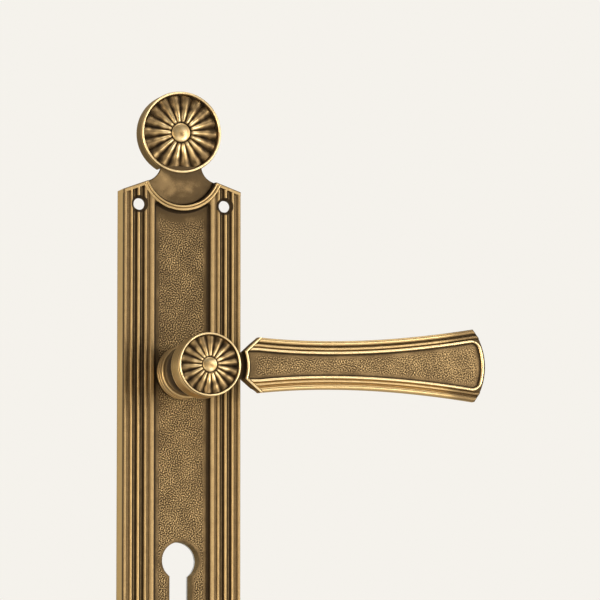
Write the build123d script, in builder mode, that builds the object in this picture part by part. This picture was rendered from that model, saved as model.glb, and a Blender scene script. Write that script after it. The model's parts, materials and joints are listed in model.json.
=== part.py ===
from build123d import *
import os
from math import asin, atan2, cos, degrees, radians, sin

# Lever handle on a tall ornamental door plate, in millimetres.
# Origin: the spindle axis where it leaves the back of the plate, which lies on the door's face.
# +X runs along the lever, +Y goes into the door, +Z is up.
# "Depth" is the distance out from the door, along -Y.

# ---- plate ----
plate_half_width = 27.5
plate_depth = 12.0
plate_mid_z = -42.5  # middle of the plate, below the spindle
corner_v = 125.7  # half length of the plate at its outer corners
shoulder_x, shoulder_v = 15.5, 130.1  # where the sloping shoulder turns up into the neck
shoulder_bend = (11.4, 132.7)  # on the hollow between the shoulder and the neck
waist_x, waist_v = 9.6, 136.9  # narrowest point of the neck, under the rosette
neck_arc_v, neck_arc_r, rim_width = 135.7, 16.6, 2.9
neck_depth = 8.6
panel_half_width, panel_depth, panel_corner_r = 12.9, 9.3, 1.4
panel_half_height = 121.7  # the rims cut into its ends
edge_band = 1.8  # plain band between the reeds and the sloping shoulder

# ---- reeds on the plate's long borders: x where each groove and reed meet, from the inner bead outwards ----
reed_edges = [15.26, 16.4, 17.8, 19.75, 21.13, 23.15, 24.35, 25.95]
shallow_groove, deep_groove, reed_root = 0.9, 1.6, 0.7

# ---- hollow back ----
inner_depth = 7.2  # inside face of the panel's wall
cavity_half_width, cavity_half_height = 22.5, 114.0
back_plate_t = 2.0
back_half_width, back_half_height, back_corner_r = 25.5, 123.6, 4.0
fit_gap, slide_gap = 0.1, 0.05  # between parts that lie side by side, and that slide one inside the other
screw_clear, head_clear = 0.25, 0.3  # round a screw's shank and round its head
post_r = 3.4
floor_left = 0.6  # metal left in front of a blind screw hole
back_screw_points = [(x, v) for x in (-15, 15) for v in (-95, -12, 95)]
back_screw_hole_r, back_screw_r, back_screw_head_r, back_screw_length = 1.3, 1.25, 2.4, 4.8
back_bore_r = 11.5  # opening round the journal

# ---- fixing holes ----
fixing_x, fixing_v = 20.0, 119.0
fixing_r, fixing_sink_r = 2.7, 3.95
pocket_inner_x, pocket_outer_x = 13.5, 25.0  # hollow behind each hole, open at the back
pocket_low_v, pocket_high_v, pocket_depth = 112.0, 123.6, 8.8
pocket_margin = 0.7  # by which the back plate stands clear of each pocket

# ---- keyhole for a profile cylinder ----
key_v, key_r, key_slot_r, key_height = -42.5, 8.6, 5.1, 33.0
key_wall = 3.0

# ---- rosettes ----
crest_v, crest_r, crest_depth = 152.5, 18.8, 9.8
pad_r, pad_depth, tongue_half_width, tongue_length = 16.2, 6.5, 9.0, 12.0
tongue_opening = 11.2  # height of the gap in the rosette's skirt that the tongue passes through
petals = 18
plate_petal_start, hub_petal_start = 100.0, 87.0  # degrees from +X to the middle of one petal
groove_inner, groove_outer = 0.02, 0.085  # radius of the grooves between petals, over the rosette's
petal_inner, petal_outer, boss_ratio = 0.25, 0.9, 0.22
ring_inner, dish_depth = 0.86, 0.8  # hollow between the petals and the rim
boss_root, boss_rise = 1.0, 0.6  # how far the middle boss starts below the face, and rises above it
rosette_screw_r, rosette_head_r, rosette_head_t, rosette_screw_length = 1.95, 3.7, 2.5, 6.2
rosette_thread = 2.4  # depth of the threaded hole in the rosette
counterbore_r, counterbore_depth = 3.9, 2.6
drive_width, drive_depth, drive_length = 0.8, 1.0, 1.3  # cross slots; their length is over the head's radius

# ---- collar, bush and hub ----
collar_r, collar_neck_r, collar_front = 12.3, 11.6, 22.0
collar_beads = [(13.0, 14.4), (16.4, 17.8), (19.9, 21.2)]  # depths between which each bead stands out
collar_bore_r, spigot_r, bush_flange_r, bush_flange_t = 10.4, 11.2, 13.0, 1.2
journal_r, journal_gap, journal_chamfer = 8.5, 0.06, 0.3
spigot_gap, bush_gap, bush_sink = 0.03, 0.04, 0.2  # bush_sink: the bush ends below the collar's face
washer_r, washer_bore_r = 11.0, 8.8
hub_shoulder, shank_foot_r, shank_foot_front = 22.7, 11.5, 24.8
shank_low, shank_waist, shank_high = (10.6, 25.6), (8.9, 34.5), (11.6, 42.8)  # radius and depth
drum_r, drum_back, drum_front, hub_front = 14.3, 44.9, 56.5, 60.0
drum_bead_r, drum_bead_back, drum_edge = 12.7, 43.4, 0.6
seat_r, seat_depth, tail_round = 11.05, 53.0, 0.5  # hollow in the drum that takes the rosette's tail
flat_half = 7.0  # half width across the two flats that drive the cam
flat_end = 5.3
ring_groove_r, ring_back, ring_front = 7.6, 0.5, 1.3
ring_outer_r, ring_gap, ring_play = 10.6, 7.0, 0.02
shim_r, shim_bore_r = 11.0, 8.7

# ---- spindle ----
spindle_size, spindle_in, spindle_out = 8.0, 43.0, 45.0
spindle_end_gap, spindle_chamfer = 0.5, 0.8
grub_depth, grub_r, grub_start, grub_length = 34.0, 2.5, 4.1, 4.6
grub_socket, grub_socket_depth = 1.25, 2.2

# ---- grip ----
grip_tilt = 1.2  # degrees that the grip rises towards its tip
grip_back, grip_front = 48.0, 57.0
grip_edge = [(23.4, 12.4), (55.0, 10.8), (88.7, 12.15), (124.2, 16.4)]
grip_tip_x, grip_end_x, grip_end_w = 129.7, 126.2, 13.6
grip_root_x, grip_root_mid_x, grip_root_w = 16.6, 17.7, 6.2
back_bevel, front_bevel = 3.0, 0.4
border_width, grip_panel_sink = 6.0, 1.5
panel_corner, panel_end, panel_tip_x = (124.4, 10.9), (126.6, 9.0), 127.4
panel_start, panel_root = (21.2, 6.4), (19.9, 5.2)
border_grooves, border_groove_depth = [(2.2, 2.95), (4.2, 4.75)], 0.6
neck_half, neck_back, neck_front, neck_end = 6.1, 48.8, 53.6, 16.5
tenon_half, tenon_back, tenon_front, tenon_end = 4.0, 49.95, 53.55, 37.0
arm_start = 10.3  # where the neck and the tenon start, inside the drum
socket_end = 37.3  # end of the grip's socket, a little past the tenon
grip_screw_x, grip_screw_r, grip_screw_head_r, grip_screw_length = 30.0, 2.0, 3.6, 3.0

# ---- spring cassette ----
cup_r, cup_wall, cup_floor_t, cup_bore_r = 21.0, 1.2, 1.0, 8.9
ear_z, ear_half_width, ear_screw_r, ear_head_r, ear_screw_length = 26.0, 4.5, 1.45, 2.7, 4.5
ear_post_r, ear_head_sink = 4.0, 0.2
cam_back, cam_front, cam_r, lug_r, lug_half_angle = 3.2, 5.25, 10.3, 13.6, 25.0
cam_flat_w, cam_flat_t = 9.8, 2.0  # the cam's pads that bear on the journal's flats
coil_r, wire_r, coil_pitch, coil_turns, coil_back = 15.0, 0.7, 1.5, 1.5, 4.0
cam_leg, post_leg = 3.6, 5.3  # how far the spring's legs reach inwards to the cam and outwards to the wall
leg_gap, wall_slot, lug_slot = 0.2, 3.0, 6.0  # room beside a leg, and lengths of the slots that hold them
pin_r, pin_circle_r, pin_front, pin_gap = 1.5, 12.2, 5.0, 0.02
travel = 45.0  # degrees that the lever turns
pin_clear = 0.6  # degrees between a pin and the cam at each end of the travel

half_length = crest_v + crest_r


def door_plane(depth, v=0.0):
    """Plane parallel to the door, at a depth out from it, with its origin on the plate's centre line."""
    return Plane(origin=(0, -depth, plate_mid_z + v), x_dir=(1, 0, 0), z_dir=(0, -1, 0))


def spindle_plane(depth):
    """Plane parallel to the door, with its origin on the spindle axis."""
    return Plane(origin=(0, -depth, 0), x_dir=(1, 0, 0), z_dir=(0, -1, 0))


def grip_plane(depth):
    """Plane parallel to the door whose x axis lies along the tilted grip."""
    tilt = radians(grip_tilt)
    return Plane(origin=(0, -depth, 0), x_dir=(cos(tilt), 0, sin(tilt)), z_dir=(0, -1, 0))


def turned(points):
    """Add a closed turning about the spindle axis, from (radius, depth) corners, to the part being built."""
    with BuildPart() as turning:
        with BuildSketch(Plane.XY):
            with BuildLine():
                Polyline(*[(r, -depth) for r, depth in points], close=True)
            make_face()
        revolve(axis=Axis.Y)
    add(turning.part)


def round_bar(plane, radius, length, mode=Mode.ADD):
    """Add or cut a cylinder that starts on a plane and runs along its normal."""
    with BuildPart() as bar:
        with BuildSketch(plane):
            Circle(radius)
        extrude(amount=length)
    add(bar.part, mode=mode)


def cross_slots(plane, head_r):
    """Cut the cross slots of a screw whose head starts on a plane."""
    length = drive_length * head_r
    with BuildPart() as slots:
        with BuildSketch(plane):
            Rectangle(length, drive_width)
            Rectangle(drive_width, length)
        extrude(amount=drive_depth)
    add(slots.part, mode=Mode.SUBTRACT)


def plate_outline():
    """Outline of the plate: its upper right quarter, mirrored both ways."""
    with BuildSketch() as outline:
        with BuildLine():
            Polyline((0, waist_v), (0, 0), (plate_half_width, 0), (plate_half_width, corner_v))
            Line((plate_half_width, corner_v), (shoulder_x, shoulder_v))
            ThreePointArc((shoulder_x, shoulder_v), shoulder_bend, (waist_x, waist_v))
            Line((waist_x, waist_v), (0, waist_v))
        make_face()
        mirror(about=Plane.YZ)
        mirror(about=Plane.XZ)
    return outline.sketch


def key_profile(grow=0.0):
    """Outline of the hole for a profile cylinder, or of a wall round it."""
    slot_length = key_height - key_r - key_slot_r
    with BuildSketch() as profile:
        with Locations((0, key_v)):
            Circle(key_r + grow)
        with Locations((0, key_v - slot_length / 2)):
            Rectangle(2 * (key_slot_r + grow), slot_length)
        with Locations((0, key_v - slot_length)):
            Circle(key_slot_r + grow)
    return profile.sketch


def corner_pockets(grow=0.0):
    """Outlines of the four pockets behind the fixing holes."""
    with BuildSketch() as pockets:
        with GridLocations(pocket_inner_x + pocket_outer_x, pocket_low_v + pocket_high_v, 2, 2):
            Rectangle(pocket_outer_x - pocket_inner_x + 2 * grow, pocket_high_v - pocket_low_v + 2 * grow)
    return pockets.sketch


def petal_grooves(centre_z, radius, front, start):
    """The tapered grooves between the petals of a rosette, as one cutter. start is the middle of a petal."""
    with BuildPart() as grooves:
        for i in range(petals):
            angle = radians(start + (i + 0.5) * 360 / petals)
            outward = (cos(angle), 0, sin(angle))
            for reach, size in ((petal_inner, groove_inner), (petal_outer, groove_outer)):
                at = radius * reach
                section = Plane(origin=(at * cos(angle), -front, centre_z + at * sin(angle)),
                                x_dir=(0, 1, 0), z_dir=outward)
                with BuildSketch(section):
                    Circle(radius * size)
            loft()
    return grooves.part


# ---------------------------------------------------------------- plate side

with BuildPart() as reed_cutter:
    # everything that is cut away between the inner and outer beads, leaving round reeds standing
    with BuildSketch(Plane.XY.offset(plate_mid_z)):
        root_y = -plate_depth + reed_root
        with BuildLine():
            Polyline((reed_edges[0], root_y), (reed_edges[0], -plate_depth - 1),
                     (reed_edges[-1], -plate_depth - 1), (reed_edges[-1], root_y))
            for i in range(len(reed_edges) - 1):
                a, b = reed_edges[i], reed_edges[i + 1]
                groove = shallow_groove if i in (0, 6) else deep_groove
                sink = groove if i % 2 == 0 else 0.0
                ThreePointArc((a, root_y), ((a + b) / 2, -plate_depth + sink), (b, root_y))
        make_face()
    extrude(amount=half_length, both=True)
    # the reeds stop short of the shoulder and of the rim round the neck
    with BuildSketch(door_plane(plate_depth - 3)):
        slope = (shoulder_v - corner_v) / (plate_half_width - shoulder_x)
        inner_x, outer_x = reed_edges[0] - 1, reed_edges[-1] + 1
        inner_v = corner_v + slope * (plate_half_width - inner_x) - edge_band
        outer_v = corner_v + slope * (plate_half_width - outer_x) - edge_band
        with BuildLine():
            Polyline((inner_x, 0), (outer_x, 0), (outer_x, outer_v), (inner_x, inner_v), close=True)
        make_face()
        with Locations((0, neck_arc_v)):
            Circle(neck_arc_r + rim_width, mode=Mode.SUBTRACT)
        mirror(about=Plane.XZ)
    extrude(amount=6, mode=Mode.INTERSECT)

with BuildPart() as faceplate:
    with BuildSketch(door_plane(0)):
        add(plate_outline())
    extrude(amount=plate_depth)
    # room for the rosette at each end
    for side in (-1, 1):
        round_bar(door_plane(0, side * crest_v), crest_r + fit_gap / 2, plate_depth, Mode.SUBTRACT)
    # sunk neck at each end, inside its rim
    with BuildSketch(door_plane(neck_depth)):
        with Locations((0, neck_arc_v), (0, -neck_arc_v)):
            Circle(neck_arc_r)
    extrude(amount=plate_depth, mode=Mode.SUBTRACT)
    # sunk panel, whose ends follow the rims
    with BuildSketch(door_plane(panel_depth)) as panel_sketch:
        Rectangle(2 * panel_half_width, 2 * panel_half_height)
        with Locations((0, neck_arc_v), (0, -neck_arc_v)):
            Circle(neck_arc_r + rim_width, mode=Mode.SUBTRACT)
        fillet(panel_sketch.vertices(), panel_corner_r)
    extrude(amount=plate_depth, mode=Mode.SUBTRACT)
    # reeded borders
    add(reed_cutter.part, mode=Mode.SUBTRACT)
    add(mirror(reed_cutter.part, about=Plane.YZ, mode=Mode.PRIVATE), mode=Mode.SUBTRACT)
    # hollow back: rebate for the back plate, then the cavity
    with BuildSketch(door_plane(0)):
        RectangleRounded(2 * back_half_width, 2 * back_half_height, back_corner_r)
    extrude(amount=back_plate_t, mode=Mode.SUBTRACT)
    with BuildSketch(door_plane(0)):
        RectangleRounded(2 * cavity_half_width, 2 * cavity_half_height, back_corner_r)
    extrude(amount=inner_depth, mode=Mode.SUBTRACT)
    # posts for the back plate's screws and the cassette's screws, and a wall round the keyhole
    with BuildSketch(door_plane(back_plate_t)):
        with Locations(*back_screw_points):
            Circle(post_r)
        add(key_profile(key_wall))
    extrude(amount=inner_depth - back_plate_t)
    with BuildSketch(spindle_plane(back_plate_t + cup_floor_t)):
        with Locations((0, ear_z), (0, -ear_z)):
            Circle(ear_post_r)
    extrude(amount=inner_depth - back_plate_t - cup_floor_t)
    # the wall is thin round the fixing holes, with a pocket behind each that is open at the back
    with BuildSketch(door_plane(0)):
        add(corner_pockets())
    extrude(amount=pocket_depth, mode=Mode.SUBTRACT)
    # tongue and round pad that carry each rosette
    for side in (-1, 1):
        with BuildSketch(door_plane(0, side * crest_v)):
            Circle(pad_r)
            with Locations((0, -side * (crest_v - neck_arc_v))):
                Rectangle(2 * tongue_half_width, tongue_length)
        extrude(amount=pad_depth)
    # holes
    with Locations(door_plane(plate_depth)):
        with GridLocations(2 * fixing_x, 2 * fixing_v, 2, 2):
            CounterSinkHole(fixing_r, fixing_sink_r, counter_sink_angle=90)
    round_bar(spindle_plane(0), spigot_r + spigot_gap, plate_depth, Mode.SUBTRACT)
    with BuildSketch(door_plane(0)):
        add(key_profile())
    extrude(amount=plate_depth, mode=Mode.SUBTRACT)
    with BuildSketch(door_plane(0)):
        with Locations(*back_screw_points):
            Circle(back_screw_hole_r)
    extrude(amount=inner_depth - floor_left, mode=Mode.SUBTRACT)
    with BuildSketch(spindle_plane(0)):
        with Locations((0, ear_z), (0, -ear_z)):
            Circle(ear_screw_r + slide_gap)
    extrude(amount=inner_depth - floor_left, mode=Mode.SUBTRACT)
    for side in (-1, 1):
        round_bar(door_plane(0, side * crest_v), rosette_screw_r + screw_clear, pad_depth, Mode.SUBTRACT)
        round_bar(door_plane(0, side * crest_v), counterbore_r, counterbore_depth, Mode.SUBTRACT)
faceplate.part.label = "faceplate"
export_step(faceplate.part, "parts/faceplate.step")

for side, name in ((1, "upper_rosette"), (-1, "lower_rosette")):
    with BuildPart() as rosette:
        round_bar(door_plane(0, side * crest_v), crest_r, crest_depth)
        # dished face inside the rim, with a boss in the middle
        with BuildSketch(door_plane(crest_depth, side * crest_v)):
            Circle(crest_r * petal_outer)
            Circle(crest_r * ring_inner, mode=Mode.SUBTRACT)
        extrude(amount=-dish_depth, mode=Mode.SUBTRACT)
        grooves = petal_grooves(plate_mid_z + side * crest_v, crest_r, crest_depth, plate_petal_start)
        add(grooves, mode=Mode.SUBTRACT)
        round_bar(door_plane(crest_depth - boss_root, side * crest_v), crest_r * boss_ratio,
                  boss_root + boss_rise)
        # hollow that fits over the plate's pad and tongue
        round_bar(door_plane(0, side * crest_v), pad_r + fit_gap, pad_depth, Mode.SUBTRACT)
        with BuildSketch(door_plane(0, side * crest_v)):
            with Locations((0, -side * crest_r)):
                Rectangle(2 * (tongue_half_width + fit_gap), tongue_opening)
        extrude(amount=pad_depth, mode=Mode.SUBTRACT)
        round_bar(door_plane(pad_depth, side * crest_v), rosette_screw_r + slide_gap, rosette_thread,
                  Mode.SUBTRACT)
    rosette.part.label = name
    export_step(rosette.part, "parts/" + name + ".step")

with BuildPart() as rosette_screws:
    for side in (-1, 1):
        round_bar(door_plane(fit_gap, side * crest_v), rosette_head_r, rosette_head_t)
        round_bar(door_plane(fit_gap + rosette_head_t, side * crest_v), rosette_screw_r, rosette_screw_length)
        cross_slots(door_plane(fit_gap, side * crest_v), rosette_head_r)
rosette_screws.part.label = "rosette_screws"
export_step(rosette_screws.part, "parts/rosette_screws.step")

with BuildPart() as back_plate:
    with BuildSketch(door_plane(0)):
        RectangleRounded(2 * (back_half_width - fit_gap), 2 * (back_half_height - fit_gap), back_corner_r)
    extrude(amount=back_plate_t)
    round_bar(spindle_plane(0), back_bore_r, back_plate_t, Mode.SUBTRACT)
    with BuildSketch(spindle_plane(0)):
        with Locations((0, ear_z), (0, -ear_z)):
            Circle(ear_head_r + head_clear)
    extrude(amount=back_plate_t, mode=Mode.SUBTRACT)
    # keyhole, and corners cut away behind the fixing holes
    with BuildSketch(door_plane(0)):
        add(key_profile())
        add(corner_pockets(pocket_margin))
    extrude(amount=back_plate_t, mode=Mode.SUBTRACT)
    with Locations(Plane(origin=(0, 0, plate_mid_z), x_dir=(1, 0, 0), z_dir=(0, 1, 0))):
        with Locations(*[(x, -v) for x, v in back_screw_points]):
            CounterSinkHole(back_screw_hole_r, back_screw_head_r + fit_gap, counter_sink_angle=90)
back_plate.part.label = "back_plate"
export_step(back_plate.part, "parts/back_plate.step")

with BuildPart() as back_plate_screws:
    for x, v in back_screw_points:
        head = Plane(origin=(x, -slide_gap, plate_mid_z + v), x_dir=(1, 0, 0), z_dir=(0, -1, 0))
        shank = head.offset(back_screw_head_r - back_screw_r)
        with BuildSketch(head):
            Circle(back_screw_head_r)
        with BuildSketch(shank):
            Circle(back_screw_r)
        loft()
        round_bar(shank, back_screw_r, back_screw_length)
        cross_slots(head, back_screw_head_r)
back_plate_screws.part.label = "back_plate_screws"
export_step(back_plate_screws.part, "parts/back_plate_screws.step")

with BuildPart() as rose_collar:
    # spigot, body with three beads round it, and the bush's bore through it
    side = [(collar_neck_r, panel_depth)]
    slope = collar_r - collar_neck_r
    for low, high in collar_beads:
        side += [(collar_neck_r, low - slope), (collar_r, low)]
        side += [(collar_r, high), (collar_neck_r, high + slope)]
    turned([(collar_bore_r, inner_depth), (spigot_r, inner_depth), (spigot_r, panel_depth), *side,
            (collar_neck_r, collar_front), (collar_bore_r, collar_front)])
rose_collar.part.label = "rose_collar"
export_step(rose_collar.part, "parts/rose_collar.step")

with BuildPart() as bearing_bush:
    bore = journal_r + journal_gap
    sleeve, front = collar_bore_r - bush_gap, collar_front - bush_sink
    turned([(bore, inner_depth - bush_flange_t), (bush_flange_r, inner_depth - bush_flange_t),
            (bush_flange_r, inner_depth), (sleeve, inner_depth), (sleeve, front), (bore, front)])
bearing_bush.part.label = "bearing_bush"
export_step(bearing_bush.part, "parts/bearing_bush.step")

with BuildPart() as thrust_washer:
    turned([(washer_bore_r, collar_front), (washer_r, collar_front),
            (washer_r, hub_shoulder - fit_gap), (washer_bore_r, hub_shoulder - fit_gap)])
thrust_washer.part.label = "thrust_washer"
export_step(thrust_washer.part, "parts/thrust_washer.step")

# ---------------------------------------------------------------- spring cassette

with BuildPart() as return_spring:
    with BuildLine() as coil_path:
        Helix(pitch=coil_pitch, height=coil_pitch * coil_turns, radius=coil_r,
              center=(0, -coil_back, 0), direction=(0, -1, 0))
    cam_end = coil_path.line @ 0
    post_end = coil_path.line @ 1
    with BuildSketch(Plane(origin=cam_end, z_dir=coil_path.line % 0)):
        Circle(wire_r)
    sweep(path=coil_path.line, is_frenet=True)
    for end, way, reach in ((cam_end, -1, cam_leg), (post_end, 1, post_leg)):
        outward = Vector(end.X, 0, end.Z).normalized()
        with Locations(Location((end.X, end.Y, end.Z))):
            Sphere(wire_r)
        round_bar(Plane(origin=end, z_dir=outward * way), wire_r, reach)
return_spring.part.label = "return_spring"
export_step(return_spring.part, "parts/return_spring.step")

# angles of the spring's two legs round the spindle, and of the pins that stop the cam's lug
leg_angle = degrees(atan2(cam_end.Z, cam_end.X))
post_angle = degrees(atan2(post_end.Z, post_end.X))
pin_half_angle = degrees(asin(pin_r / pin_circle_r))
rest_pin_angle = leg_angle + lug_half_angle + pin_half_angle + pin_clear
end_pin_angle = leg_angle - lug_half_angle - travel - pin_half_angle - pin_clear
pin_points = [(pin_circle_r * cos(radians(a)), pin_circle_r * sin(radians(a)))
              for a in (rest_pin_angle, end_pin_angle)]

with BuildPart() as cassette_housing:
    with BuildSketch(spindle_plane(back_plate_t)):
        Circle(cup_r)
        SlotOverall(2 * (ear_z + ear_half_width), 2 * ear_half_width, rotation=90)
    extrude(amount=cup_floor_t)
    round_bar(spindle_plane(back_plate_t), cup_r, inner_depth - back_plate_t)
    round_bar(spindle_plane(back_plate_t + cup_floor_t), cup_r - cup_wall, inner_depth, Mode.SUBTRACT)
    round_bar(spindle_plane(back_plate_t), cup_bore_r, cup_floor_t, Mode.SUBTRACT)
    # slot in the wall that holds the spring's outer leg
    with BuildSketch(spindle_plane(coil_back + coil_pitch * coil_turns - wire_r - leg_gap)):
        with Locations(Location((0, 0, 0), post_angle)):
            with Locations((cup_r - cup_wall / 2, 0)):
                Rectangle(wall_slot, 2 * (wire_r + leg_gap))
    extrude(amount=inner_depth, mode=Mode.SUBTRACT)
    with BuildSketch(spindle_plane(back_plate_t)):
        with Locations(*pin_points):
            Circle(pin_r + pin_gap)
        with Locations((0, ear_z), (0, -ear_z)):
            Circle(ear_screw_r + screw_clear)
    extrude(amount=cup_floor_t, mode=Mode.SUBTRACT)
cassette_housing.part.label = "cassette_housing"
export_step(cassette_housing.part, "parts/cassette_housing.step")

with BuildPart() as cassette_screws:
    for z in (ear_z, -ear_z):
        head = Plane(origin=(0, -ear_head_sink, z), x_dir=(1, 0, 0), z_dir=(0, -1, 0))
        head_t = back_plate_t - ear_head_sink
        round_bar(head, ear_head_r, head_t)
        round_bar(head.offset(head_t), ear_screw_r, ear_screw_length)
        cross_slots(head, ear_head_r)
cassette_screws.part.label = "cassette_screws"
export_step(cassette_screws.part, "parts/cassette_screws.step")

with BuildPart() as stop_pins:
    with BuildSketch(spindle_plane(back_plate_t)):
        with Locations(*pin_points):
            Circle(pin_r)
    extrude(amount=pin_front - back_plate_t)
stop_pins.part.label = "stop_pins"
export_step(stop_pins.part, "parts/stop_pins.step")

# ---------------------------------------------------------------- lever side

with BuildPart() as driver_cam:
    with BuildSketch(spindle_plane(cam_back)):
        Circle(cam_r)
        lug = [(lug_r * cos(radians(leg_angle + a)), lug_r * sin(radians(leg_angle + a)))
               for a in (-lug_half_angle, 0, lug_half_angle)]
        with BuildLine():
            Line((0, 0), lug[0])
            ThreePointArc(*lug)
            Line(lug[2], (0, 0))
        make_face()
        Circle(journal_r + slide_gap, mode=Mode.SUBTRACT)
        pad_v = flat_half + slide_gap + cam_flat_t / 2
        with Locations((0, pad_v), (0, -pad_v)):
            Rectangle(cam_flat_w, cam_flat_t)
        with Locations(Location((0, 0, 0), leg_angle)):
            with Locations((lug_r, 0)):
                Rectangle(lug_slot, 2 * (wire_r + leg_gap), mode=Mode.SUBTRACT)
    extrude(amount=cam_front - cam_back)
driver_cam.part.label = "driver_cam"
export_step(driver_cam.part, "parts/driver_cam.step")

with BuildPart() as lever_hub:
    # journal, foot, waisted shank and drum in one turning
    low, waist, high = [(r, -depth) for r, depth in (shank_low, shank_waist, shank_high)]
    with BuildSketch(Plane.XY):
        with BuildLine():
            Polyline((0, 0), (ring_groove_r, 0), (journal_r, -journal_chamfer), (journal_r, -ring_back),
                     (ring_groove_r, -ring_back), (ring_groove_r, -ring_front),
                     (journal_r, -ring_front), (journal_r, -hub_shoulder),
                     (shank_foot_r, -hub_shoulder), (shank_foot_r, -shank_foot_front), low)
            ThreePointArc(low, waist, high)
            Polyline(high, (drum_bead_r, -drum_bead_back), (drum_bead_r, -drum_back + drum_edge),
                     (drum_r - drum_edge, -drum_back), (drum_r, -drum_back - drum_edge),
                     (drum_r, -drum_front), (0, -drum_front), (0, 0))
        make_face()
    revolve(axis=Axis.Y)
    # arm and tenon that carry the grip
    with BuildSketch(grip_plane(neck_back)):
        with Locations(((arm_start + neck_end) / 2, 0)):
            Rectangle(neck_end - arm_start, 2 * neck_half)
    extrude(amount=neck_front - neck_back)
    with BuildSketch(grip_plane(tenon_back)):
        with Locations(((arm_start + tenon_end) / 2, 0)):
            Rectangle(tenon_end - arm_start, 2 * tenon_half)
    extrude(amount=tenon_front - tenon_back)
    # seat of the rosette, flats for the cam, square hole for the spindle, hole for the grub screw
    round_bar(spindle_plane(seat_depth), seat_r, hub_front, Mode.SUBTRACT)
    with BuildSketch(spindle_plane(0)):
        with Locations((0, flat_half + journal_r / 2), (0, -flat_half - journal_r / 2)):
            Rectangle(3 * journal_r, journal_r)
    extrude(amount=flat_end, mode=Mode.SUBTRACT)
    with BuildSketch(spindle_plane(0)):
        Rectangle(spindle_size + fit_gap, spindle_size + fit_gap)
    extrude(amount=spindle_in + spindle_end_gap, mode=Mode.SUBTRACT)
    round_bar(Plane(origin=(0, -grub_depth, 0), x_dir=(1, 0, 0), z_dir=(0, 0, -1)),
              grub_r + slide_gap, drum_r, Mode.SUBTRACT)
    # hole for the screw that holds the grip
    with BuildSketch(grip_plane(tenon_back)):
        with Locations((grip_screw_x, 0)):
            Circle(grip_screw_r + slide_gap)
    extrude(amount=grip_screw_length, mode=Mode.SUBTRACT)
lever_hub.part.label = "lever_hub"
export_step(lever_hub.part, "parts/lever_hub.step")

with BuildPart() as hub_rosette:
    tail_start = seat_depth + fit_gap
    round_bar(spindle_plane(tail_start), seat_r - slide_gap, drum_front - tail_start)
    round_bar(spindle_plane(drum_front), drum_r, hub_front - drum_front)
    fillet(hub_rosette.edges().group_by(Axis.Y)[0], tail_round)
    with BuildSketch(spindle_plane(hub_front)):
        Circle(drum_r * petal_outer)
        Circle(drum_r * ring_inner, mode=Mode.SUBTRACT)
    extrude(amount=-dish_depth, mode=Mode.SUBTRACT)
    add(petal_grooves(0, drum_r, hub_front, hub_petal_start), mode=Mode.SUBTRACT)
    round_bar(spindle_plane(hub_front - boss_root), drum_r * boss_ratio, boss_root)
hub_rosette.part.label = "hub_rosette"
export_step(hub_rosette.part, "parts/hub_rosette.step")

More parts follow.
